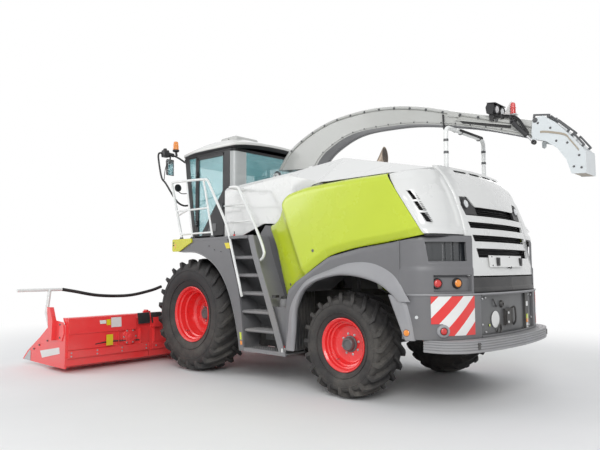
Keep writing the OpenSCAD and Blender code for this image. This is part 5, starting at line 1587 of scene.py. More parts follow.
def makeSpoutFittings():
    part = newPart()
    finishList = ["blackPlastic", "clearLens", "whitePaint", "redLens", "steel", "hoseRubber"]
    # twin lamps in a black box with a visor
    addSlab(part, [(-4.430, 3.462), (-4.352, 3.482), (-4.340, 3.560), (-4.362, 3.604), (-4.442, 3.590),
                   (-4.450, 3.560)], -0.080, 0.206)
    addSlab(part, [(-4.440, 3.592), (-4.362, 3.606), (-4.358, 3.616), (-4.475, 3.600), (-4.476, 3.590)],
            -0.086, 0.212)
    addSlab(part, [(-4.420, 3.380), (-4.370, 3.395), (-4.366, 3.500), (-4.424, 3.490)], 0.150, 0.168)
    for y in (0.140, -0.012):
        place = Vector((-4.446, y, 3.526))
        addLathe(part, [(-0.01, 0.060), (0.020, 0.060), (0.026, 0.056), (0.026, 0.050), (0.010, 0.048)],
                 place, (-1, 0.10, -0.14))
        addLamp(part, place, (-1, 0.10, -0.14), 0.048, 1, 0.018)
    # white bracket that carries the red beacon
    addSlab(part, [(-4.470, 3.452), (-4.500, 3.466), (-4.590, 3.612), (-4.618, 3.612), (-4.680, 3.400),
                   (-4.664, 3.396)], 0.040, 0.048, "y", 2)
    addBox(part, (-4.672, 0.010, 3.440), (-4.590, 0.094, 3.450), 2)
    addLathe(part, [(0, 0.036), (0.016, 0.036), (0.020, 0.032), (0.060, 0.032), (0.066, 0.036),
                    (0.076, 0.036), (0.082, 0.031), (0.120, 0.030), (0.138, 0.022), (0.146, axisGap)],
             (-4.632, 0.070, 3.450), (0, 0, 1), 28, 3)
    # piping along the arm to the deflector's cylinder
    for y, drop in ((0.158, 0.0), (0.166, -0.022)):
        addTube(part, smoothLine([(-4.43, y, 3.440 + drop), (-4.52, y, 3.436 + drop),
                                  (-4.66, y, 3.405 + drop), (-4.740, y + 0.012, 3.350 + drop),
                                  (-4.800, y + 0.016, 3.250 + drop), (-4.836, y + 0.016, 3.190 + drop),
                                  (-4.846, y + 0.014, 3.150)]), 0.010, 10, 5)
    for x, z in ((-4.53, 3.424), (-4.64, 3.398)):
        addBox(part, (x - 0.012, 0.140, z - 0.030), (x + 0.012, 0.178, z + 0.024))
    # cylinder with its eyes
    top = Vector((-4.672, 0.180, 3.312))
    neck = Vector((-4.832, 0.180, 3.128))
    eye = Vector((-4.905, 0.180, 3.046))
    run = (neck - top).normalized()
    length = (neck - top).length
    addLathe(part, [(0, 0.020), (0.012, 0.027), (length - 0.03, 0.027), (length - 0.03, 0.031),
                    (length - 0.004, 0.031), (length, 0.026), (length, axisGap)], top, run, 24)
    addLathe(part, [(0, 0.013), ((eye - neck).length, 0.013), ((eye - neck).length, axisGap)], neck, run, 18,
             4)
    for place in (top - run * 0.012, eye + run * 0.010):
        addLathe(part, [(-0.018, 0.010), (-0.018, 0.028), (0.018, 0.028), (0.018, 0.010)], place, (0, 1, 0),
                 24, closed=True)
    addSlab(part, [(-4.630, 3.372), (-4.700, 3.350), (-4.700, 3.310), (-4.672, 3.290), (-4.640, 3.300)],
            0.130, 0.158)
    addPiece("spout_fittings.detail", part, finishList, "arm", ("spout_fittings",), bevel=0.003)


makeSpoutFittings()


deflectorSetup = {
    "cheek": [(-4.900, 3.325), (-5.020, 3.340), (-5.160, 3.232), (-5.330, 3.040), (-5.455, 2.880),
              (-5.470, 2.850), (-5.470, 2.612), (-5.312, 2.622), (-5.262, 2.790), (-5.170, 2.930),
              (-5.050, 3.030), (-4.900, 3.080), (-4.880, 3.140)],
    "back": [(-5.020, 3.340), (-5.160, 3.232), (-5.330, 3.040), (-5.455, 2.880), (-5.4685, 2.850),
             (-5.4685, 2.612)],
    "bars": (((-4.905, 3.372), (-5.075, 3.345)), ((-5.100, 3.322), (-5.290, 3.135)),
             ((-5.335, 3.082), (-5.438, 2.940))),
}


def makeDeflector():
    # two cheeks, a bent back over them, and a loose end flap
    part = newPart()
    for side in (1, -1):
        addSlab(part, deflectorSetup["cheek"], side * 0.158, side * 0.168)
        # folded rims and the straw coloured strip along the upper edge
        rim = smoothLine([(-4.985, side * 0.170, 3.150), (-5.060, side * 0.170, 3.140),
                          (-5.250, side * 0.170, 3.080), (-5.310, side * 0.170, 3.010),
                          (-5.400, side * 0.170, 2.880)])
        strip = [[p + lifted(dz) for dz in (-0.012, 0.012)] for p in rim]
        addSkin(part, moved(strip, y=side * 0.004), moved(strip, y=-side * 0.004), 1)
        for x, z in ((-4.96, 3.26), (-5.10, 3.18), (-5.28, 2.98), (-5.40, 2.82), (-5.42, 2.68), (-5.34, 2.70),
                     (-5.16, 3.02)):
            addBolt(part, (x, side * 0.168, z), (0, side, 0), 0.010, 2)
        addSlab(part, [(-4.880, 3.100), (-4.935, 3.085), (-4.930, 3.030), (-4.905, 3.012), (-4.882, 3.030)],
                side * 0.160, side * 0.172)
        addLathe(part, [(0, 0.030), (0.006, 0.030), (0.008, 0.016), (0.014, 0.016), (0.014, axisGap)],
                 (-4.930, side * 0.166, 3.300), (0, side, 0), 24, 2)
    lower = smoothLine([(x, 0, z) for x, z in deflectorSetup["back"]], 4)
    rows = [[p + Vector((0, y, 0)) for y in (-0.166, -0.06, 0.06, 0.166)] for p in lower]
    inner = []
    for i, p in enumerate(lower):
        heading = (lower[min(i + 1, len(lower) - 1)] - lower[max(i - 1, 0)]).normalized()
        off = Vector((-heading.z, 0, heading.x)) * 0.010
        if off.x < 0:
            off = -off
        inner.append([p + off + Vector((0, y, 0)) for y in (-0.160, -0.06, 0.06, 0.160)])
    addSkin(part, rows, inner)
    # bars on the back that hold and turn the flap
    for y in (0.120, -0.120):
        for a, b in deflectorSetup["bars"]:
            start, end = Vector((a[0], y, a[1])), Vector((b[0], y, b[1]))
            run = (end - start).normalized()
            up = Vector((run.z, 0, -run.x))
            up = up if up.z > 0 else -up
            addTube(part, [start + up * 0.004, end + up * 0.004], 0.011, 10, 2)
            for p in (start, end):
                addTube(part, [p + up * 0.012, p - up * 0.040], 0.014, 10, 2)
    addTube(part, [(-5.078, -0.166, 3.318), (-5.078, 0.166, 3.318)], 0.016, 12, 2)
    addSlab(part, [(-5.468, 2.640), (-5.468, 2.614), (-5.330, 2.622), (-5.330, 2.632), (-5.455, 2.626),
                   (-5.458, 2.640)], -0.156, 0.156, "y", 1)
    addPiece("deflector.sheet", part, ["deflectorPaint", "strawPaint", "hubPaint"], "deflector_hood",
             ("deflector",), bevel=0.003, angle=30)


makeDeflector()


exhaustSetup = {"base": (-2.285, -0.300, 2.940), "lean": (-0.52, 0, 0.854), "radius": 0.084, "inner": 0.077}


def makeExhaust():
    # a steel pipe that leans back, its wide mouth cut off nearly upright
    s = exhaustSetup
    base, radius, inner = Vector(s["base"]), s["radius"], s["inner"]
    axis, side, other = turned(s["lean"])

    def ring(r, t):
        return [base + axis * t + r * (math.cos(a) * side + math.sin(a) * other) for a in wheelAngles(40)]

    def cut(r):
        # up along the pipe to the plane of its mouth
        return [p + axis * ((p.x - 0.07 * (p.z - 3.318) + 2.488) / (0.07 * axis.z - axis.x))
                for p in ring(r, 0)]

    part = newPart()
    addRings(part, [ring(radius, -0.02), ring(radius, 0.10), cut(radius), cut(inner)])
    addRings(part, [cut(inner), ring(inner, 0.10)], finish=1)
    addLathe(part, [(0.055, radius - 0.002), (0.055, radius + 0.010), (0.085, radius + 0.010),
                    (0.085, radius - 0.002)], base, axis, 40, 1, closed=True)
    addPiece("exhaust.pipe", part, ["tanSteel", "burntSteel"], "machine", ("exhaust",), bevel=0.002, angle=50)


makeExhaust()


def makeRestPad():
    # a rubber pad held on the hoop by two clips
    part = newPart()
    section = ((-0.040, 3.318), (-0.040, 3.344), (-0.030, 3.353), (0.030, 3.353), (0.040, 3.344),
               (0.040, 3.318))
    # where along the hoop, and how full the section is there
    along = ((-0.470, 0.4), (-0.455, 0.8), (-0.430, 1.0), (-0.30, 1.0), (0.0, 1.0), (0.18, 1.0), (0.215, 0.9),
             (0.232, 0.7), (0.240, 0.4))
    rings = []
    for y, g in along:
        rings.append([Vector((-3.960, y, 0)) + Vector((dx * g, 0, 3.338 + (z - 3.338) * g))
                      for dx, z in section])
    addRings(part, rings)
    for y in (-0.38, 0.13):
        addTube(part, [(-3.960 + 0.034 * math.cos(a), y, 3.325 + 0.034 * math.sin(a))
                       for a in wheelAngles(24, 1)], 0.006, 8, 1)
    for y in (0.520, -0.520):
        for z in (2.985, 3.140):
            addLathe(part, [(0, 0.0285), (0.004, 0.0315), (0.030, 0.0315), (0.034, 0.0285)], (-3.960, y, z),
                     (0, 0, 1), 24, 1)
    addPiece("restPad", part, ["blackRubber", "hubPaint"], bevel=0.003)


makeRestPad()
print("spout made")

# the cab

cabSetup = {
    "wall": 0.880, "rear": -0.350, "floor": 2.060, "top": 3.545, "corner": 0.090,
    "front": [(2.06, 0.800), (2.60, 0.880), (3.48, 1.010)],  # how far forward the pillar stands
    "bow": [(2.06, 0.900), (2.60, 0.990), (3.48, 1.085)],
    "roofPlan": [(-0.478, 0.0), (-0.478, 0.55), (-0.470, 0.78), (-0.440, 0.880), (-0.380, 0.915),
                 (-0.10, 0.935), (0.30, 0.948), (0.60, 0.945), (0.85, 0.925), (1.00, 0.885), (1.080, 0.780),
                 (1.106, 0.55), (1.112, 0.25), (1.112, 0.0)],
    "crown": [(-0.48, 3.700), (-0.36, 3.740), (-0.20, 3.790), (0.0, 3.840), (0.25, 3.890), (0.56, 3.910),
              (0.85, 3.850), (1.02, 3.750), (1.12, 3.650)],
    "glassTop": 3.520,
}


def roofRing(share, drop=None):
    s = cabSetup
    half = smoothLine([(x, y, 0) for x, y in s["roofPlan"]], 5)
    outline = half + [Vector((p.x, -p.y, 0)) for p in half[-2:0:-1]]
    ring = []
    for p in outline:
        q = Vector((0.28 + (p.x - 0.28) * share, p.y * share, 0))
        rim = 3.592 + 0.060 * ease(-q.x / 0.46) * (1 - min(1, abs(q.y) / 0.88) ** 2)
        rim -= 0.026 * ease((q.x - 0.55) / 0.5)
        dome = max(0.0, 1 - share ** 2.05) ** 0.96
        crown = (follow(q.x, s["crown"]) - rim - 0.024) * dome
        q.z = rim + 0.024 + crown if drop is None else rim - drop
        ring.append(q)
    return ring


def makeRoof():
    part = newPart()
    shares = [0.02, 0.15, 0.30, 0.45, 0.58, 0.70, 0.80, 0.88, 0.94, 0.975, 0.993, 1.0]
    rings = [roofRing(share) for share in shares] + [roofRing(1.0, drop=0.004), roofRing(0.994, drop=0.014),
                                                     roofRing(0.962, drop=0.016)]
    addRings(part, rings)
    addPiece("cab_roof.shell", part, "roofPaint", "machine", ("cab_roof",), angle=60)
    # grey hatch with its seam
    hatch = newPart()
    addSlab(hatch, [(0.300, 3.880), (0.740, 3.870), (0.738, 3.926), (0.700, 3.952), (0.330, 3.956),
                    (0.302, 3.930)], -0.255, 0.255)
    addTube(hatch, [(0.52, -0.262, 3.915), (0.52, 0.262, 3.915)], 0.010, 10, 1)
    addPiece("roofHatch", hatch, ["hatchPaint", "trimBlack"], bevel=0.018, segments=3)
    # black trim under the roof's edge, and the lining inside
    trim = newPart()
    addRings(trim, [roofRing(0.985, drop=0.006), roofRing(0.985, drop=0.020), roofRing(0.965, drop=0.040),
                    roofRing(0.940, drop=0.058), roofRing(0.925, drop=0.066), roofRing(0.900, drop=0.060),
                    roofRing(0.90, drop=0.018)])
    addPiece("roofTrim", trim, "trimBlack", angle=50)


makeRoof()


def cabOutline(z, inset=0.0):
    # half of the cab's plan at a height, from the middle of the back round to the middle of the front
    s = cabSetup
    w, rear, c = s["wall"] - inset, s["rear"] + inset, s["corner"]
    pillar, bow = follow(z, s["front"]) - inset, follow(z, s["bow"]) - inset
    half = [(rear, 0.0), (rear, 0.30), (rear, 0.60)]
    half += [(rear + c - c * math.cos(a), w - c + c * math.sin(a))
             for a in (math.pi / 2 * k / 6 for k in range(7))]
    half += [(-0.25, w), (-0.11, w), (0.62, w), (0.66, w), (pillar - 0.15, w)]
    half += [(pillar - 0.07 + 0.07 * math.sin(a), w - 0.07 + 0.07 * math.cos(a))
             for a in (math.pi / 2 * k / 4 for k in range(5))]
    half += [(pillar + (bow - pillar) * 0.55, 0.50), (bow - 0.006, 0.25), (bow, 0.0)]
    return [Vector((x, y, z)) for x, y in half]


def wallStrip(part, first, last, zs, outward=0.0, thick=0.010, finish=0, side=1):
    # a curved sheet between two places of the outline, over the given heights
    outer, inner = ([cabOutline(z, inset)[first:last + 1] for z in zs]
                    for inset in (-outward, thick - outward))
    for grid in (outer, inner):
        for row in grid:
            for p in row:
                p.y *= side
    addSkin(part, outer, inner, finish)


def makeCabFrame():
    s = cabSetup
    low, top = s["floor"], s["top"]
    last = len(cabOutline(low)) - 1
    corner, pillarB, doorFront, doorFrame, pillarA = 9, 10, 12, 13, 14
    part = newPart()
    for side in (1, -1):
        wallStrip(part, 0, last, [low, 2.10, 2.14], 0.0, 0.05, 0, side)  # sill
        wallStrip(part, 0, last, [s["glassTop"] - 0.02, top], 0.0, 0.06, 0, side)  # top rail
        wallStrip(part, pillarB, pillarB + 1, [2.10, 2.8, top - 0.02], 0.002, 0.05, 0, side)
        wallStrip(part, doorFront, doorFrame, [2.10, 2.8, top - 0.02], 0.0, 0.045, 0, side)
        wallStrip(part, pillarA, pillarA + 5, [2.10, 2.35, 2.6, 3.0, 3.25, top - 0.02], 0.002, 0.05, 0, side)
        wallStrip(part, 0, corner, [2.10, 2.30, 2.50, 2.72], 0.0, 0.030, 0, side)  # below the windows
        if side < 0:
            wallStrip(part, pillarB + 1, doorFront, [2.10, 2.30, 2.40], 0.0, 0.030, 0, side)
        # gutter above the windows
        wallStrip(part, 3, pillarA, [3.526, 3.540], 0.014, 0.016, 0, side)
    # door hinges' fixed eyes and pins
    for z in (2.300, 3.150):
        for rise in (0.0, 0.070):
            addLathe(part, [(0, 0.013), (0.030, 0.013), (0.030, axisGap)], (0.600, 0.903, z + rise),
                     (0, 0, 1), 20)
            addBox(part, (0.602, 0.862, z + rise), (0.634, 0.903, z + rise + 0.030))
        addLathe(part, [(0, 0.0068), (0.100, 0.0068), (0.100, axisGap)], (0.600, 0.903, z), (0, 0, 1), 16, 1)
    # the wiper
    addTube(part, smoothLine([(follow(2.2, s["bow"]) + 0.01, 0.10, 2.20),
                              (follow(2.5, s["bow"]) + 0.012, 0.14, 2.50),
                              (follow(2.9, s["bow"]) + 0.004, 0.30, 2.90)], 4), 0.008, 8)
    addPiece("cab_frame.posts", part, ["trimBlack", "steel"], "machine", ("cab_frame",), bevel=0.004)
    # fixed panes
    panes = newPart()
    zs = [2.12, 2.35, 2.60, 2.90, 3.20, s["glassTop"]]
    upper = [2.70, 2.95, 3.20, s["glassTop"]]
    for side in (1, -1):
        wallStrip(panes, pillarA + 5, last, zs, -0.012, 0.008, 0, side)
        wallStrip(panes, 2, corner, upper, -0.004, 0.008, 1, side)
        wallStrip(panes, corner, pillarB, upper, -0.004, 0.008, 1, side)
        wallStrip(panes, doorFrame, pillarA, zs, -0.010, 0.008, 0, side)
        wallStrip(panes, 0, 2, upper, -0.006, 0.008, 0, side)
        if side < 0:
            wallStrip(panes, pillarB + 1, doorFront, [2.38, 2.8, s["glassTop"]], -0.012, 0.008, 0, side)
    addPiece("cab_glass.panes", panes, ["tealGlass", "quarterGlass"], "machine", ("cab_glass",), angle=50)


makeCabFrame()


cabDoorSetup = {"low": 2.090, "high": 3.495, "back": -0.104, "front": 0.612}


def makeCabDoor():
    # slim frame, solid lower rear corner, one big pane, pull bar and handle
    part = newPart()
    w = cabSetup["wall"]
    low, high, back, front = (cabDoorSetup[k] for k in ("low", "high", "back", "front"))

    def sheet(outline, a=0.0, b=0.034, finish=0):
        addSlab(part, outline, w - b, w - a, "y", finish)
    sheet([(back, low), (front, low), (front, low + 0.040), (back, low + 0.040)])
    sheet([(back, high - 0.044), (front, high - 0.044), (front, high), (back, high)])
    sheet([(front - 0.036, low), (front, low), (front, high), (front - 0.036, high)])
    sheet([(back, low), (back + 0.030, low), (back + 0.030, high), (back, high)])
    sheet([(back + 0.02, low + 0.02), (0.480, low + 0.02), (0.480, low + 0.10), (-0.060, 2.860),
           (back + 0.02, 2.900)], 0.006, 0.026)
    sheet([(0.10, 2.200), (0.330, 2.200), (0.235, 2.330), (0.10, 2.330)], 0.001, 0.007, 1)
    for z in (2.335, 3.185):
        addLathe(part, [(0, 0.013), (0.030, 0.013), (0.030, 0.0072), (0, 0.0072)], (0.600, 0.903, z),
                 (0, 0, 1), 20, closed=True)
        addBox(part, (0.562, 0.862, z), (0.592, 0.898, z + 0.030))
    addTube(part, smoothLine([(0.570, w - 0.040, 2.745), (0.520, w - 0.062, 2.745), (0.25, w - 0.066, 2.790),
                              (0.02, w - 0.062, 2.842), (-0.070, w - 0.036, 2.860)], 5), 0.012, 10)
    addBox(part, (-0.086, w - 0.004, 2.560), (-0.030, w + 0.014, 2.640), 1)
    addTube(part, smoothLine([(-0.060, w + 0.006, 2.650), (-0.058, w + 0.030, 2.640),
                              (-0.056, w + 0.032, 2.570), (-0.058, w + 0.006, 2.556)], 4), 0.008, 8, 1)
    addPiece("cab_door.frame", part, ["trimBlack", "hubPaint"], "door", ("cab_door",), bevel=0.004)
    pane = newPart()
    addSlab(pane, [(-0.078, 2.870), (0.500, 2.150), (0.580, 2.126), (0.580, 3.455), (-0.078, 3.455)],
            w - 0.024, w - 0.017)
    addPiece("cab_door.pane", pane, "tealGlass", "door", ("cab_door_glass",), bevel=0.002)


makeCabDoor()


seatSetup = {  # side outline, half of the width, how far it is crowned
    "seatCushion": ([(-0.080, 2.330), (0.425, 2.325), (0.458, 2.400), (0.440, 2.465), (0.300, 2.450),
                     (-0.060, 2.440)], 0.235, 0.03),
    "seatBack": ([(-0.150, 2.420), (-0.060, 2.450), (-0.052, 2.560), (-0.090, 2.800), (-0.130, 2.990),
                  (-0.200, 3.010), (-0.232, 2.880), (-0.190, 2.560)], 0.225, 0.03),
    "headRest": ([(-0.150, 3.040), (-0.190, 3.035), (-0.232, 3.060), (-0.236, 3.150), (-0.190, 3.185),
                  (-0.150, 3.150)], 0.130, 0.05),
}


def softForm(name):
    # a cushion: its side outline between two widths, pulled in at the corners and crowned between
    outline, half, crown = seatSetup[name]
    part = newPart()
    side = evenLine([(x, 0, z) for x, z in outline] + [(outline[0][0], 0, outline[0][1])], 29)[:-1]
    middle = sum(side, Vector()) / len(side)
    rings = []
    for t in (k / 10 for k in range(11)):
        pull = 1 - 0.22 * (2 * abs(t - 0.5)) ** 6
        rings.append([middle + (p - middle) * (pull + crown * math.sin(math.pi * t))
                      + Vector((0, half * 2 * t - half, 0)) for p in side])
    addRings(part, rings)
    addPiece(name, part, "seatFabric", soft=2)


def cabPlate(part, z, inset, heights, finish):
    # a thin plate that fills the cab's plan
    half = cabOutline(z, inset)
    ring = half + [Vector((p.x, -p.y, p.z)) for p in half[-2:0:-1]]
    addRings(part, [[p + lifted(dz) for p in ring] for dz in heights], finish=finish)


def makeInterior():
    part = newPart()
    finishList = ["trimBlack", "hubPaint", "blackPlastic", "darkScreen", "steel"]
    floor = 2.110
    cabPlate(part, 2.10, 0.052, (-0.01, 0.012), 1)
    # seat base with its bellows, armrest with the lever
    for k in range(5):
        z = floor + 0.02 + k * 0.034
        g = 0.0 if k % 2 else 0.014
        addSlab(part, [(-0.05 - g, -0.23 - g), (0.40 + g, -0.23 - g), (0.40 + g, 0.23 + g),
                       (-0.05 - g, 0.23 + g)], z, z + 0.034, "z", 2)
    addBox(part, (-0.08, -0.235, 2.285), (0.42, 0.235, 2.318), 1)
    addSlab(part, [(-0.06, 2.30), (0.34, 2.30), (0.42, 2.58), (0.42, 2.65), (-0.06, 2.61)], -0.410, -0.262,
            "y", 2)
    addTube(part, smoothLine([(0.36, -0.335, 2.64), (0.38, -0.335, 2.70), (0.36, -0.335, 2.76)], 4),
            [0.020, 0.018, 0.016, 0.016, 0.018, 0.022, 0.028, 0.030, 0.022])
    # side console, dashboard, screens on a post
    addSlab(part, [(-0.20, 2.12), (0.86, 2.12), (0.80, 2.46), (0.30, 2.62), (-0.20, 2.66)], -0.835, -0.480,
            "y", 2)
    addTube(part, [(0.62, -0.56, 2.50), (0.66, -0.56, 2.98)], 0.020)
    for z in (2.72, 2.98):
        addSlab(part, [(0.632, z - 0.085), (0.672, z - 0.080), (0.690, z + 0.085), (0.650, z + 0.090)],
                -0.690, -0.430)
        addSlab(part, [(0.628, z - 0.070), (0.634, z - 0.070), (0.650, z + 0.076), (0.644, z + 0.076)],
                -0.675, -0.445, "y", 3)
    # steering column and wheel
    addLathe(part, [(0, 0.062), (0.06, 0.060), (0.075, 0.042)], (0.760, 0, floor), (0, 0, 1), 24)
    addTube(part, smoothLine([(0.760, 0, 2.16), (0.735, 0, 2.35), (0.680, 0, 2.58), (0.622, 0, 2.775)], 4),
            0.040, 16)
    axis, side, other = turned((-0.19, 0, 0.98))
    hub = Vector((0.615, 0, 2.800))
    addTube(part, [hub + 0.178 * (math.cos(a) * side + math.sin(a) * other) for a in wheelAngles(48, 1)],
            0.015)
    for a in (0.5 + turn for turn in wheelAngles(3)):
        addTube(part, [hub - axis * 0.012, hub + 0.176 * (math.cos(a) * side + math.sin(a) * other)], 0.011,
                8, 1)
    addLathe(part, [(-0.04, 0.046), (0.004, 0.044), (0.012, 0.034), (0.014, axisGap)], hub, axis, 28)
    # fan housing and blind rolls under the roof's lining
    addSlab(part, [(0.66, 3.535), (1.035, 3.530), (0.985, 3.405), (0.86, 3.400)], -0.850, 0.850)
    addTube(part, [(-0.270, -0.62, 3.395), (-0.270, 0.62, 3.395)], 0.030, 14, 1)
    cabPlate(part, 3.50, 0.062, (0.0, 0.036), 2)
    addPiece("cab_interior.fittings", part, finishList, "machine", ("cab_interior",), bevel=0.005)
    for name in seatSetup:
        softForm(name)


makeInterior()


mirrorSetup = {
    "arm": [(1.010, 0.850, 3.470), (1.080, 0.960, 3.555), (1.150, 1.100, 3.612), (1.192, 1.220, 3.622),
            (1.205, 1.280, 3.588), (1.172, 1.290, 3.430), (1.090, 1.285, 3.160), (0.997, 1.262, 3.050),
            (0.850, 1.200, 2.815), (0.850, 1.100, 2.715), (0.885, 0.960, 2.680), (0.870, 0.872, 2.690)],
}


def makeMirrors():
    part = newPart()
    finishList = ["blackPlastic", "mirrorGlass", "amberLens", "trimBlack"]
    addTube(part, smoothLine(mirrorSetup["arm"], 5), 0.016)
    # clamp, joint and housing of the big mirror
    addTube(part, [(1.115, 1.02, 3.590), (1.180, 1.18, 3.618)], 0.034, 14, 3)
    addSlab(part, [(1.090, 3.540), (1.180, 3.540), (1.196, 3.600), (1.180, 3.660), (1.110, 3.668),
                   (1.084, 3.620)], 1.130, 1.235, "y", 3)
    addLathe(part, [(0, 0.030), (0.035, 0.034), (0.045, 0.020), (0.045, axisGap)], (1.150, 1.180, 3.655),
             (0, 0.1, 1), 20)
    addTube(part, [(1.118, 1.095, 3.570), (1.118, 1.095, 3.490)], 0.014, 10)
    addSlab(part, [(1.095, 3.220), (1.140, 3.235), (1.150, 3.480), (1.120, 3.512), (1.098, 3.500)], 1.030,
            1.165)
    addSlab(part, [(1.090, 3.232), (1.096, 3.232), (1.098, 3.490), (1.092, 3.490)], 1.040, 1.155, "y", 1)
    addTube(part, smoothLine([(1.125, 1.160, 3.430), (1.110, 1.205, 3.300), (1.050, 1.262, 3.120)], 4), 0.007,
            8)
    # small round mirror at the pillar
    addLathe(part, [(0.004, 0.040), (-0.004, 0.064), (0.012, 0.068), (0.034, 0.052), (0.046, 0.020),
                    (0.046, axisGap)], (0.915, 1.060, 2.985), (1, 0, 0))
    addLathe(part, [(0.0, 0.060), (0.003, 0.060), (0.003, axisGap)], (0.912, 1.060, 2.985), (-1, 0, 0), 32, 3)
    addTube(part, smoothLine([(0.950, 1.060, 2.985), (0.965, 1.030, 2.940), (0.955, 0.960, 2.900),
                              (0.930, 0.872, 2.905)], 4), 0.008, 8)
    mirrorPart(part)
    # beacon, on the left only
    addTube(part, [(1.080, 0.985, 3.580), (1.084, 1.000, 3.660)], 0.020, 12, 3)
    addLathe(part, [(0, 0.044), (0.012, 0.058), (0.036, 0.058), (0.042, 0.050), (0.042, axisGap)],
             (1.085, 1.000, 3.652), (0, 0, 1), 32, 3)
    addLathe(part, [(0, 0.050), (0.010, 0.054), (0.060, 0.051), (0.110, 0.046), (0.140, 0.038),
                    (0.150, 0.020), (0.152, axisGap)], (1.085, 1.000, 3.692), (0, 0, 1), 32, 2)
    addPiece("mirrors.arms", part, finishList, "machine", ("mirrors",), bevel=0.003)


makeMirrors()


def makeHandrails():
    # bent tube rails on both sides, with their braces and clamps
    y = 1.440
    part = newPart()

    def rail(points):
        addTube(part, smoothLine(points, 5), 0.020)

    rail([(0.268, y, 2.052), (0.272, y, 2.10), (0.420, y, 2.560), (0.540, y, 2.930), (0.545, y, 2.975),
          (0.500, y, 2.998), (0.100, y, 2.985), (-0.300, y, 2.962), (-0.365, y, 2.948), (-0.415, y, 2.900),
          (-0.610, y, 2.600), (-0.850, y, 2.220), (-1.000, 1.460, 1.850), (-1.160, 1.486, 1.460),
          (-1.205, 1.490, 1.340), (-1.222, 1.480, 1.240), (-1.224, 1.462, 1.185)])
    for a, b in (((0.153, 2.988), (-0.021, 2.052)), ((-0.290, 2.960), (-0.522, 2.052)),
                 ((0.405, 2.510), (-0.400, 2.508)), ((0.286, 2.128), (-0.500, 2.128)),
                 ((0.372, 2.440), (0.090, 2.520))):
        addTube(part, [(a[0], y, a[1]), (b[0], y, b[1])], 0.0155, 10)
    rail([(-0.850, 1.101, 2.775), (-0.860, 1.300, 2.778), (-0.890, 1.410, 2.778), (-0.960, y, 2.776),
          (-1.060, y, 2.768), (-1.120, y, 2.735), (-1.200, y, 2.610), (-1.420, y, 2.260), (-1.590, y, 1.960),
          (-1.650, y, 1.820), (-1.655, y, 1.775), (-1.620, 1.430, 1.725), (-1.545, 1.410, 1.690)])
    # rungs run forward to the panel's corner
    for z, back, front in ((2.507, -1.264, -0.470), (2.250, -1.425, -0.510)):
        addTube(part, smoothLine([(back, y, z), (front - 0.20, y - 0.12, z + 0.02), (front, 1.120, z + 0.050),
                                  (front, 1.095, z + 0.050)], 4), 0.011, 10)
    for x in (0.268, -0.021, -0.522):
        addLathe(part, [(0, 0.040), (0.006, 0.040), (0.010, 0.030), (0.030, 0.026), (0.030, 0.018)],
                 (x, y, 2.050), (0, 0, 1), 20, 1)
    mirrorPart(part)
    addPiece("handrails.tubes", part, ["railPaint", "hubPaint"], "machine", ("handrails",), angle=60)


makeHandrails()
print("cab made")

# deck, front fenders and ladder

accessSetup = {
    "treads": [1.755, 1.500, 1.245, 0.990, 0.735],
    "frontEdge": [(0.42, -1.200), (0.735, -1.268), (0.99, -1.200), (1.245, -1.085), (1.50, -0.995),
                  (1.755, -0.900), (2.05, -0.800)],
    "rearEdge": [(0.42, -1.965), (0.735, -1.850), (1.245, -1.645), (1.755, -1.425), (2.05, -1.330)],
    "inner": 1.085,
}


def frontAt(z):
    return follow(z, accessSetup["frontEdge"])


def rearAt(z):
    return follow(z, accessSetup["rearEdge"])


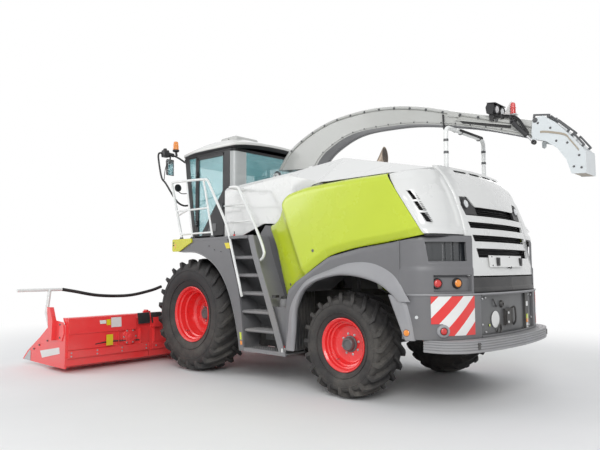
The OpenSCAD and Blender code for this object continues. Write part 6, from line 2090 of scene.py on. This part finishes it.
def makeAccess():
    s = accessSetup
    part = newPart()
    finishList = ["greyPlastic", "treadGrey", "chassisPaint", "yellowPlate", "amberLens", "limeLens",
                  "redPaint", "whitePlate", "blackPlastic"]
    # outer fender with its smooth arch, and the liner over the tyre
    arch = smoothLine([(0.18, 0, 1.84), (-0.17, 0, 1.82), (-0.49, 0, 1.70), (-0.72, 0, 1.53),
                       (-0.91, 0, 1.27), (-1.05, 0, 0.93), (-1.14, 0, 0.60), (-1.17, 0, 0.42)])
    back = smoothLine([(-0.88, 0, 2.05), (-1.00, 0, 1.68), (-1.12, 0, 1.35), (-1.21, 0, 0.90),
                       (-1.26, 0, 0.42)], 10)
    rows = [[(0.44, 0, 1.965), (0.44, 0, 2.01), (0.44, 0, 2.05)],
            [(0.30, 0, 1.855), (0.37, 0, 1.95), (0.42, 0, 2.05)]]
    for p, q in zip(evenLine(arch, 36), evenLine([(0.44, 0, 2.05)] + back, 36)):
        rows.append([p.lerp(q, t) for t in (0, 0.5, 1)])
    addSkin(part, moved(rows, y=1.460), moved(rows, y=1.425))
    lip = [Vector((0.30, 0, 1.852))] + arch
    outer = [[p + Vector((0, y, dz)) for y, dz in ((1.436, -0.004), (1.464, -0.004), (1.467, 0.004),
                                                   (1.464, 0.014))] for p in lip]
    inner = [[p + Vector((0, y, dz)) for y, dz in ((1.436, 0.010), (1.452, 0.010), (1.454, 0.012),
                                                   (1.455, 0.014))] for p in lip]
    addSkin(part, outer, inner, 1)
    liner = [[p + Vector((0, y, 0)) for y in (0.890, 1.15, 1.425)] for p in arch]
    addSkin(part, liner, moved(liner, x=0.012, z=0.020), 2)
    # deck with its ribbed mat, edge and front closing plate
    addBox(part, (-1.100, 0.885, 2.012), (0.455, 1.425, 2.046))
    addBox(part, (-1.100, 0.500, 2.012), (-0.700, 0.885, 2.046))
    for k in range(32):
        x = -1.070 + k * 0.047
        addBox(part, (x, 0.905, 2.046), (x + 0.012, 1.405, 2.050), 1)
    addBox(part, (0.430, 1.160, 1.880), (0.440, 1.425, 2.012))
    addBox(part, (-1.340, 1.420, 2.010), (0.440, 1.464, 2.050))
    # treads with rounded noses, ribs and the slanting wells between them
    levels = s["treads"]
    for i, z in enumerate(levels):
        a, b = frontAt(z) + 0.010, rearAt(z) - 0.004
        addSlab(part, [(s["inner"], z), (1.400, z), (1.424, z - 0.006), (1.436, z - 0.020),
                       (1.430, z - 0.036), (1.410, z - 0.046), (1.392, z - 0.040), (1.388, z - 0.026),
                       (s["inner"], z - 0.026)],
                a, b, "x", 1)
        for y in (1.20, 1.25, 1.30, 1.35, 1.395):
            addBox(part, (a - 0.015, y, z), (b + 0.015, y + 0.010, z + 0.004), 1)
        top = levels[i - 1] - 0.026 if i else 2.012
        ring = []
        for height, y in ((z - 0.010, s["inner"] + 0.005), (z + 0.06, s["inner"] + 0.012),
                          (top - 0.05, s["inner"] + 0.100), (top, s["inner"] + 0.115)):
            ring.append([Vector((frontAt(height) + 0.03, y, height)), Vector((rearAt(height), y, height))])
        addSkin(part, ring, moved(ring, y=-0.012))
    low = [[Vector((frontAt(z) + 0.03, s["inner"] + 0.01, z)), Vector((rearAt(z), s["inner"] + 0.01, z))]
           for z in (0.47, 0.72)]
    addSkin(part, low, moved(low, y=-0.012), 2)
    addBox(part, (-1.350, 1.100, 0.560), (-1.820, 1.112, 0.660))
    for x in (-1.48, -1.66):
        addBolt(part, (x, 1.112, 0.610), (0, 1, 0), 0.010, 1)
    # stringers: inner cheeks and the outer flange of the rear one
    rear, front = [], []
    for z in (0.430, 0.70, 1.00, 1.30, 1.60, 1.80, 2.050):
        x, f = rearAt(z), frontAt(z) + 0.026
        w = 0.105 if z > 0.6 else 0.110
        rear.append([(x, 1.062, z), (x, 1.452, z), (x - w, 1.452, z), (x - w, 1.434, z),
                     (x - 0.018, 1.434, z), (x - 0.018, 1.062, z)])
        front.append([(f, 1.062, z), (f, 1.430, z), (f + 0.014, 1.430, z), (f + 0.014, 1.062, z)])
    addRings(part, rear, finish=1)
    addRings(part, front)
    # lowest platform, toothed for grip
    addBox(part, (-2.062, 1.070, 0.432), (-1.262, 1.448, 0.452), 1)
    addBox(part, (-2.070, 1.436, 0.420), (-1.200, 1.456, 0.470), 1)
    for k in range(17):
        x = -2.020 + k * 0.046
        addSlab(part, [(1.100, 0.452), (1.436, 0.452), (1.436, 0.462)]
                + [(1.430 - 0.022 * j, 0.462 + (0.008 if j % 2 else 0.0)) for j in range(1, 15)]
                + [(1.100, 0.462)], x, x + 0.010, "x", 1)
    # wall behind the ladder up to the panels
    wall = [(-1.110, 2.010), (-1.290, 2.213), (-1.500, 2.188), (-1.660, 1.700), (-1.830, 1.110),
            (-2.048, 1.110), (-2.048, 0.520), (-2.058, 0.432), (-1.500, 0.432), (-1.300, 0.900),
            (-1.000, 1.500), (-0.860, 2.010)]
    addSlab(part, wall, 1.050, 1.066)
    # storage box with a capped filler, washer bottle, reflectors and the yellow plate
    boxFace = [(-1.792, 1.060), (-2.045, 1.060), (-2.045, 0.470), (-2.010, 0.470)]
    addSlab(part, boxFace, 1.080, 1.405)
    addLathe(part, [(0, 0.085), (0.10, 0.083), (0.105, 0.070), (0.105, axisGap)], (-1.900, 1.270, 1.060),
             (0, 0, 1), 32, 1)
    addLathe(part, [(0, 0.062), (0.030, 0.062), (0.036, 0.052), (0.036, axisGap)], (-1.900, 1.270, 1.165),
             (0, 0, 1), 24, 8)
    addBox(part, (-1.860, 1.350, 1.180), (-1.790, 1.420, 1.215), 8)
    addLathe(part, [(0, 0.030), (0.050, 0.030), (0.058, 0.018), (0.062, 0.016)], (-2.010, 1.425, 0.470),
             (0, 0, 1), 20, 7)
    addLathe(part, [(0, 0.020), (0.022, 0.020), (0.022, axisGap)], (-2.010, 1.425, 0.530), (0, 0, 1), 16, 6)
    addSlab(part, [(-1.186, 0.575), (-1.222, 0.575), (-1.210, 0.678), (-1.172, 0.678)], 1.460, 1.465, "y", 5)
    addSlab(part, [(-1.196, 0.505), (-1.232, 0.505), (-1.225, 0.560), (-1.188, 0.560)], 1.460, 1.466, "y", 4)
    addSlab(part, [(-0.835, 1.955), (-0.952, 1.955), (-0.988, 1.872), (-0.880, 1.872)], 1.464, 1.468, "y", 3)
    for x, y, h, f in ((-0.632, 1.10, 0.055, 6), (-0.80, 1.06, 0.020, 6), (-0.86, 1.06, 0.024, 6),
                       (-0.92, 1.07, 0.020, 6)):
        addLathe(part, [(0, 0.018), (h, 0.016), (h + 0.004, 0.010), (h + 0.004, axisGap)], (x, y, 2.050),
                 (0, 0, 1), 16, f)
    addLathe(part, [(0, 0.008), (0.045, 0.008), (0.045, axisGap)], (-0.632, 1.10, 2.108), (0, 0, 1), 12, 8)
    for x, z in ((-0.60, 1.86), (-0.75, 1.83), (-0.47, 1.92)):
        addBolt(part, (x, 1.460, z), (0, 1, 0), 0.008, 2, False)
    mirrorPart(part)
    addPiece("platforms.access", part, finishList, "machine", ("platforms", "ladder"), bevel=0.003, angle=32)


makeAccess()


def makeMarkerBlocks():
    part = newPart()
    outline = [(0.442, 2.052), (0.458, 2.036), (0.460, 1.880), (0.442, 1.853), (0.280, 1.852), (0.262, 1.856),
               (0.060, 1.948), (-0.046, 1.988), (-0.052, 2.036), (-0.040, 2.052)]
    addSlab(part, outline, 1.405, 1.485)
    for z, finish in ((1.985, 1), (1.950, 2), (1.915, 2), (1.945, 1)):
        x = 0.405 if finish == 1 else 0.360
        addBox(part, (x, 1.484, z), (x + 0.030, 1.488, z + 0.022), finish)
    mirrorPart(part)
    addPiece("lamps.markers", part, ["markerLime", "blackPlastic", "amberLens"], "machine", ("lamps",),
             bevel=0.010, segments=3)


makeMarkerBlocks()
print("access made")

# the crop header

headerSetup = {
    "plates": [  # near end, far end, low, high, finish
        (1.965, 2.145, 0.645, 0.800, 1), (2.155, 2.225, 0.685, 0.775, 2), (2.235, 2.340, 0.712, 0.768, 1),
               (2.115, 2.228, 0.365, 0.535, 2)],
    "hose": [(1.85, 2.64, 1.25), (1.85, 2.45, 1.215), (1.85, 2.00, 1.13), (1.85, 1.45, 1.11),
             (1.85, 1.00, 1.18), (1.85, 0.76, 1.25)],
    "rail": [(1.204, 0.222), (1.154, 0.226), (1.146, 0.240), (1.146, 0.322), (1.154, 0.336), (1.204, 0.344)],
}


def makeHeaderWing(side):
    s = headerSetup
    part = newPart()
    finishList = ["headerPaint", "whitePlate", "yellowPlate", "blackRubber", "hubPaint", "steel"]
    # lower rail, folded upper cover, flat panel and ribs on the back wall
    addSlab(part, s["rail"], 1.450, 2.846)
    addSlab(part, [(1.204, 0.588), (1.164, 0.580), (1.154, 0.592), (1.164, 0.700), (1.186, 0.822),
                   (1.204, 0.832)], 1.690, 2.842)
    addSlab(part, [(1.204, 0.344), (1.180, 0.344), (1.180, 0.586), (1.204, 0.586)], 2.060, 2.842)
    for y in (1.600, 1.800, 2.010):
        addSlab(part, [(1.204, 0.340), (1.156, 0.340), (1.160, 0.586), (1.204, 0.586)], y, y - 0.010)
    # drive drum in its recess, its guard and bolts
    addLathe(part, [(0, 0.128), (0.030, 0.128), (0.036, 0.122), (0.036, 0.096), (0.052, 0.092),
                    (0.056, 0.084), (0.056, 0.040), (0.068, 0.038), (0.070, 0.030), (0.070, axisGap)],
             (1.204, 1.800, 0.470), (-1, 0, 0), 40)
    for a in wheelAngles(6):
        addBolt(part, (1.166, 1.800 + 0.110 * math.cos(a), 0.470 + 0.110 * math.sin(a)), (-1, 0, 0), 0.011, 5)
    addSlab(part, [(1.187, 0.845), (1.167, 0.835), (1.148, 0.740), (1.142, 0.665), (1.150, 0.665),
                   (1.160, 0.740), (1.182, 0.830)], 1.435, 1.660, "y", 3)
    for near, far, low, high, finish in s["plates"]:
        shape = [(1.156, low), (1.148, low), (1.148, high), (1.156, high)]
        if low > 0.6:
            shape = [(1.156, low), (1.152, low), (1.166, high), (1.170, high)]
        addSlab(part, shape, near, far, "y", finish)
    for y in (1.50, 1.95, 2.38, 2.80):
        for z in (0.255, 0.308):
            addBolt(part, (1.146, y, z), (-1, 0, 0), 0.010, 5)
    # on the end plate: steel shoe, blank plate, raised fin and bolts
    addSlab(part, [(2.680, 0.085), (2.480, 0.240), (2.430, 0.240), (2.430, 0.075), (2.660, 0.072)], 2.878,
            2.884, "y", 5)
    addSlab(part, [(2.070, 0.270), (1.390, 0.380), (1.370, 0.285), (1.990, 0.165)], 2.878, 2.882, "y", 1)
    addSlab(part, [(1.230, 0.600), (1.260, 0.770), (1.520, 0.785), (1.620, 0.470), (1.300, 0.480)], 2.878,
            2.890)
    # red post that carries the push bar
    addSlab(part, [(1.520, 0.480), (1.620, 0.480), (1.700, 0.985), (1.600, 0.985), (1.500, 0.790)], 2.886,
            2.950)
    for x, z in ((1.36, 0.73), (1.36, 0.53), (1.58, 0.70), (1.55, 0.55), (1.80, 0.45), (2.10, 0.36),
                 (2.30, 0.28)):
        addBolt(part, (x, 2.884 if x > 1.7 else 2.890, z), (0, 1, 0), 0.012, 4)
    # a hose along the cover
    addTube(part, smoothLine([(1.188, 2.40, 0.400), (1.178, 2.20, 0.420), (1.174, 2.02, 0.420),
                              (1.178, 1.62, 0.400)], 5), 0.011, 8, 3)
    name = sideName(side)
    addPiece("header_wing_" + name + ".back", flipped(part, side), finishList, "wing_" + name, bevel=0.003)
    # the hose from the push bar's end back over the header
    hose = newPart()
    path = smoothLine(s["hose"])
    addTube(hose, path, 0.027, 14)
    piece = addPiece("hose_" + name + ".sag", flipped(hose, side), "hoseRubber", "wing_" + name,
                     ("hose_" + name,), angle=70)
    world = [Vector((p.x + axleX, p.y * side, p.z)) for p in path]
    run = sum((b - a).length for a, b in zip(world, world[1:]))
    return run


for side in (1, -1):
    print("hose", round(makeHeaderWing(side), 3))


def makeHeaderCentre():
    part = newPart()
    finishList = ["headerPaint", "blackRubber", "hubPaint", "steel", "hoseRubber"]
    for side in (1, -1):
        addSlab(part, headerSetup["rail"], side * 0.520, side * 1.390)
        addSlab(part, [(1.204, 0.840), (1.167, 0.835), (1.148, 0.740), (1.142, 0.665), (1.150, 0.665),
                       (1.160, 0.740), (1.182, 0.830)], side * 1.200, side * 1.405, "y", 1)
        for y in (0.62, 0.98, 1.34):
            addSlab(part, [(1.204, 0.340), (1.158, 0.340), (1.164, 0.600), (1.204, 0.600)], side * y,
                    side * (y - 0.012))
            addBolt(part, (1.146, side * (y - 0.03), 0.280), (-1, 0, 0), 0.011, 3)
        addBox(part, (1.156, side * 0.560, 0.600), (1.204, side * 1.190, 0.640))
        addTube(part, smoothLine([(1.178, side * 0.60, 0.700), (1.164, side * 0.85, 0.660),
                                  (1.166, side * 1.10, 0.700), (1.172, side * 1.30, 0.640)], 5), 0.012, 8, 4)
        addTube(part, smoothLine([(1.178, side * 0.60, 0.660), (1.164, side * 0.85, 0.625),
                                  (1.166, side * 1.10, 0.655), (1.172, side * 1.30, 0.600)], 5), 0.012, 8, 4)
    addPiece("header_centre.back", part, finishList, "front_lift", bevel=0.003)


makeHeaderCentre()
print("header dressed")


# floor


def makeFloor():
    bpy.ops.mesh.primitive_plane_add(size=120, location=(0, 0, 0))
    floor = bpy.context.object
    floor.name = "studioFloor"
    material, tree, shader = newMaterial("paleFloor")
    place = shaderNodes(tree, "ShaderNodeTexCoord").outputs["Object"]
    shade = noiseNode(tree, place, 0.8, 6, 0.6)
    tree.links.new(mixColor(tree, shade, (0.80, 0.80, 0.79), (0.86, 0.86, 0.85)), shader.inputs["Base Color"])
    shader.inputs["Roughness"].default_value = 0.75
    # away from the machine the floor turns into the white of the studio
    parts = shaderNodes(tree, "ShaderNodeSeparateXYZ")
    tree.links.new(place, parts.inputs["Vector"])
    across = mathNode(tree, "POWER", mathNode(tree, "DIVIDE", parts.outputs["X"], 6.6), 2.0)
    along = mathNode(tree, "POWER", mathNode(tree, "DIVIDE", parts.outputs["Y"], 5.0), 2.0)
    far = rampNode(tree, mathNode(tree, "SQRT", mathNode(tree, "ADD", across, along)), 0.75, 1.75)
    path = shaderNodes(tree, "ShaderNodeLightPath").outputs
    seen = mathNode(tree, "ADD", path["Is Camera Ray"],
                    mathNode(tree, "ADD", path["Is Glossy Ray"], path["Is Transmission Ray"]), clamp=True)
    white = shaderNodes(tree, "ShaderNodeEmission")
    white.inputs["Color"].default_value = (1, 1, 1, 1)
    blend = shaderNodes(tree, "ShaderNodeMixShader")
    tree.links.new(mathNode(tree, "MULTIPLY", far, seen), blend.inputs[0])
    tree.links.new(shader.outputs[0], blend.inputs[1])
    tree.links.new(white.outputs[0], blend.inputs[2])
    output = [node for node in tree.nodes if node.type == "OUTPUT_MATERIAL"][0]
    tree.links.new(blend.outputs[0], output.inputs["Surface"])
    floor.data.materials.append(material)


makeFloor()
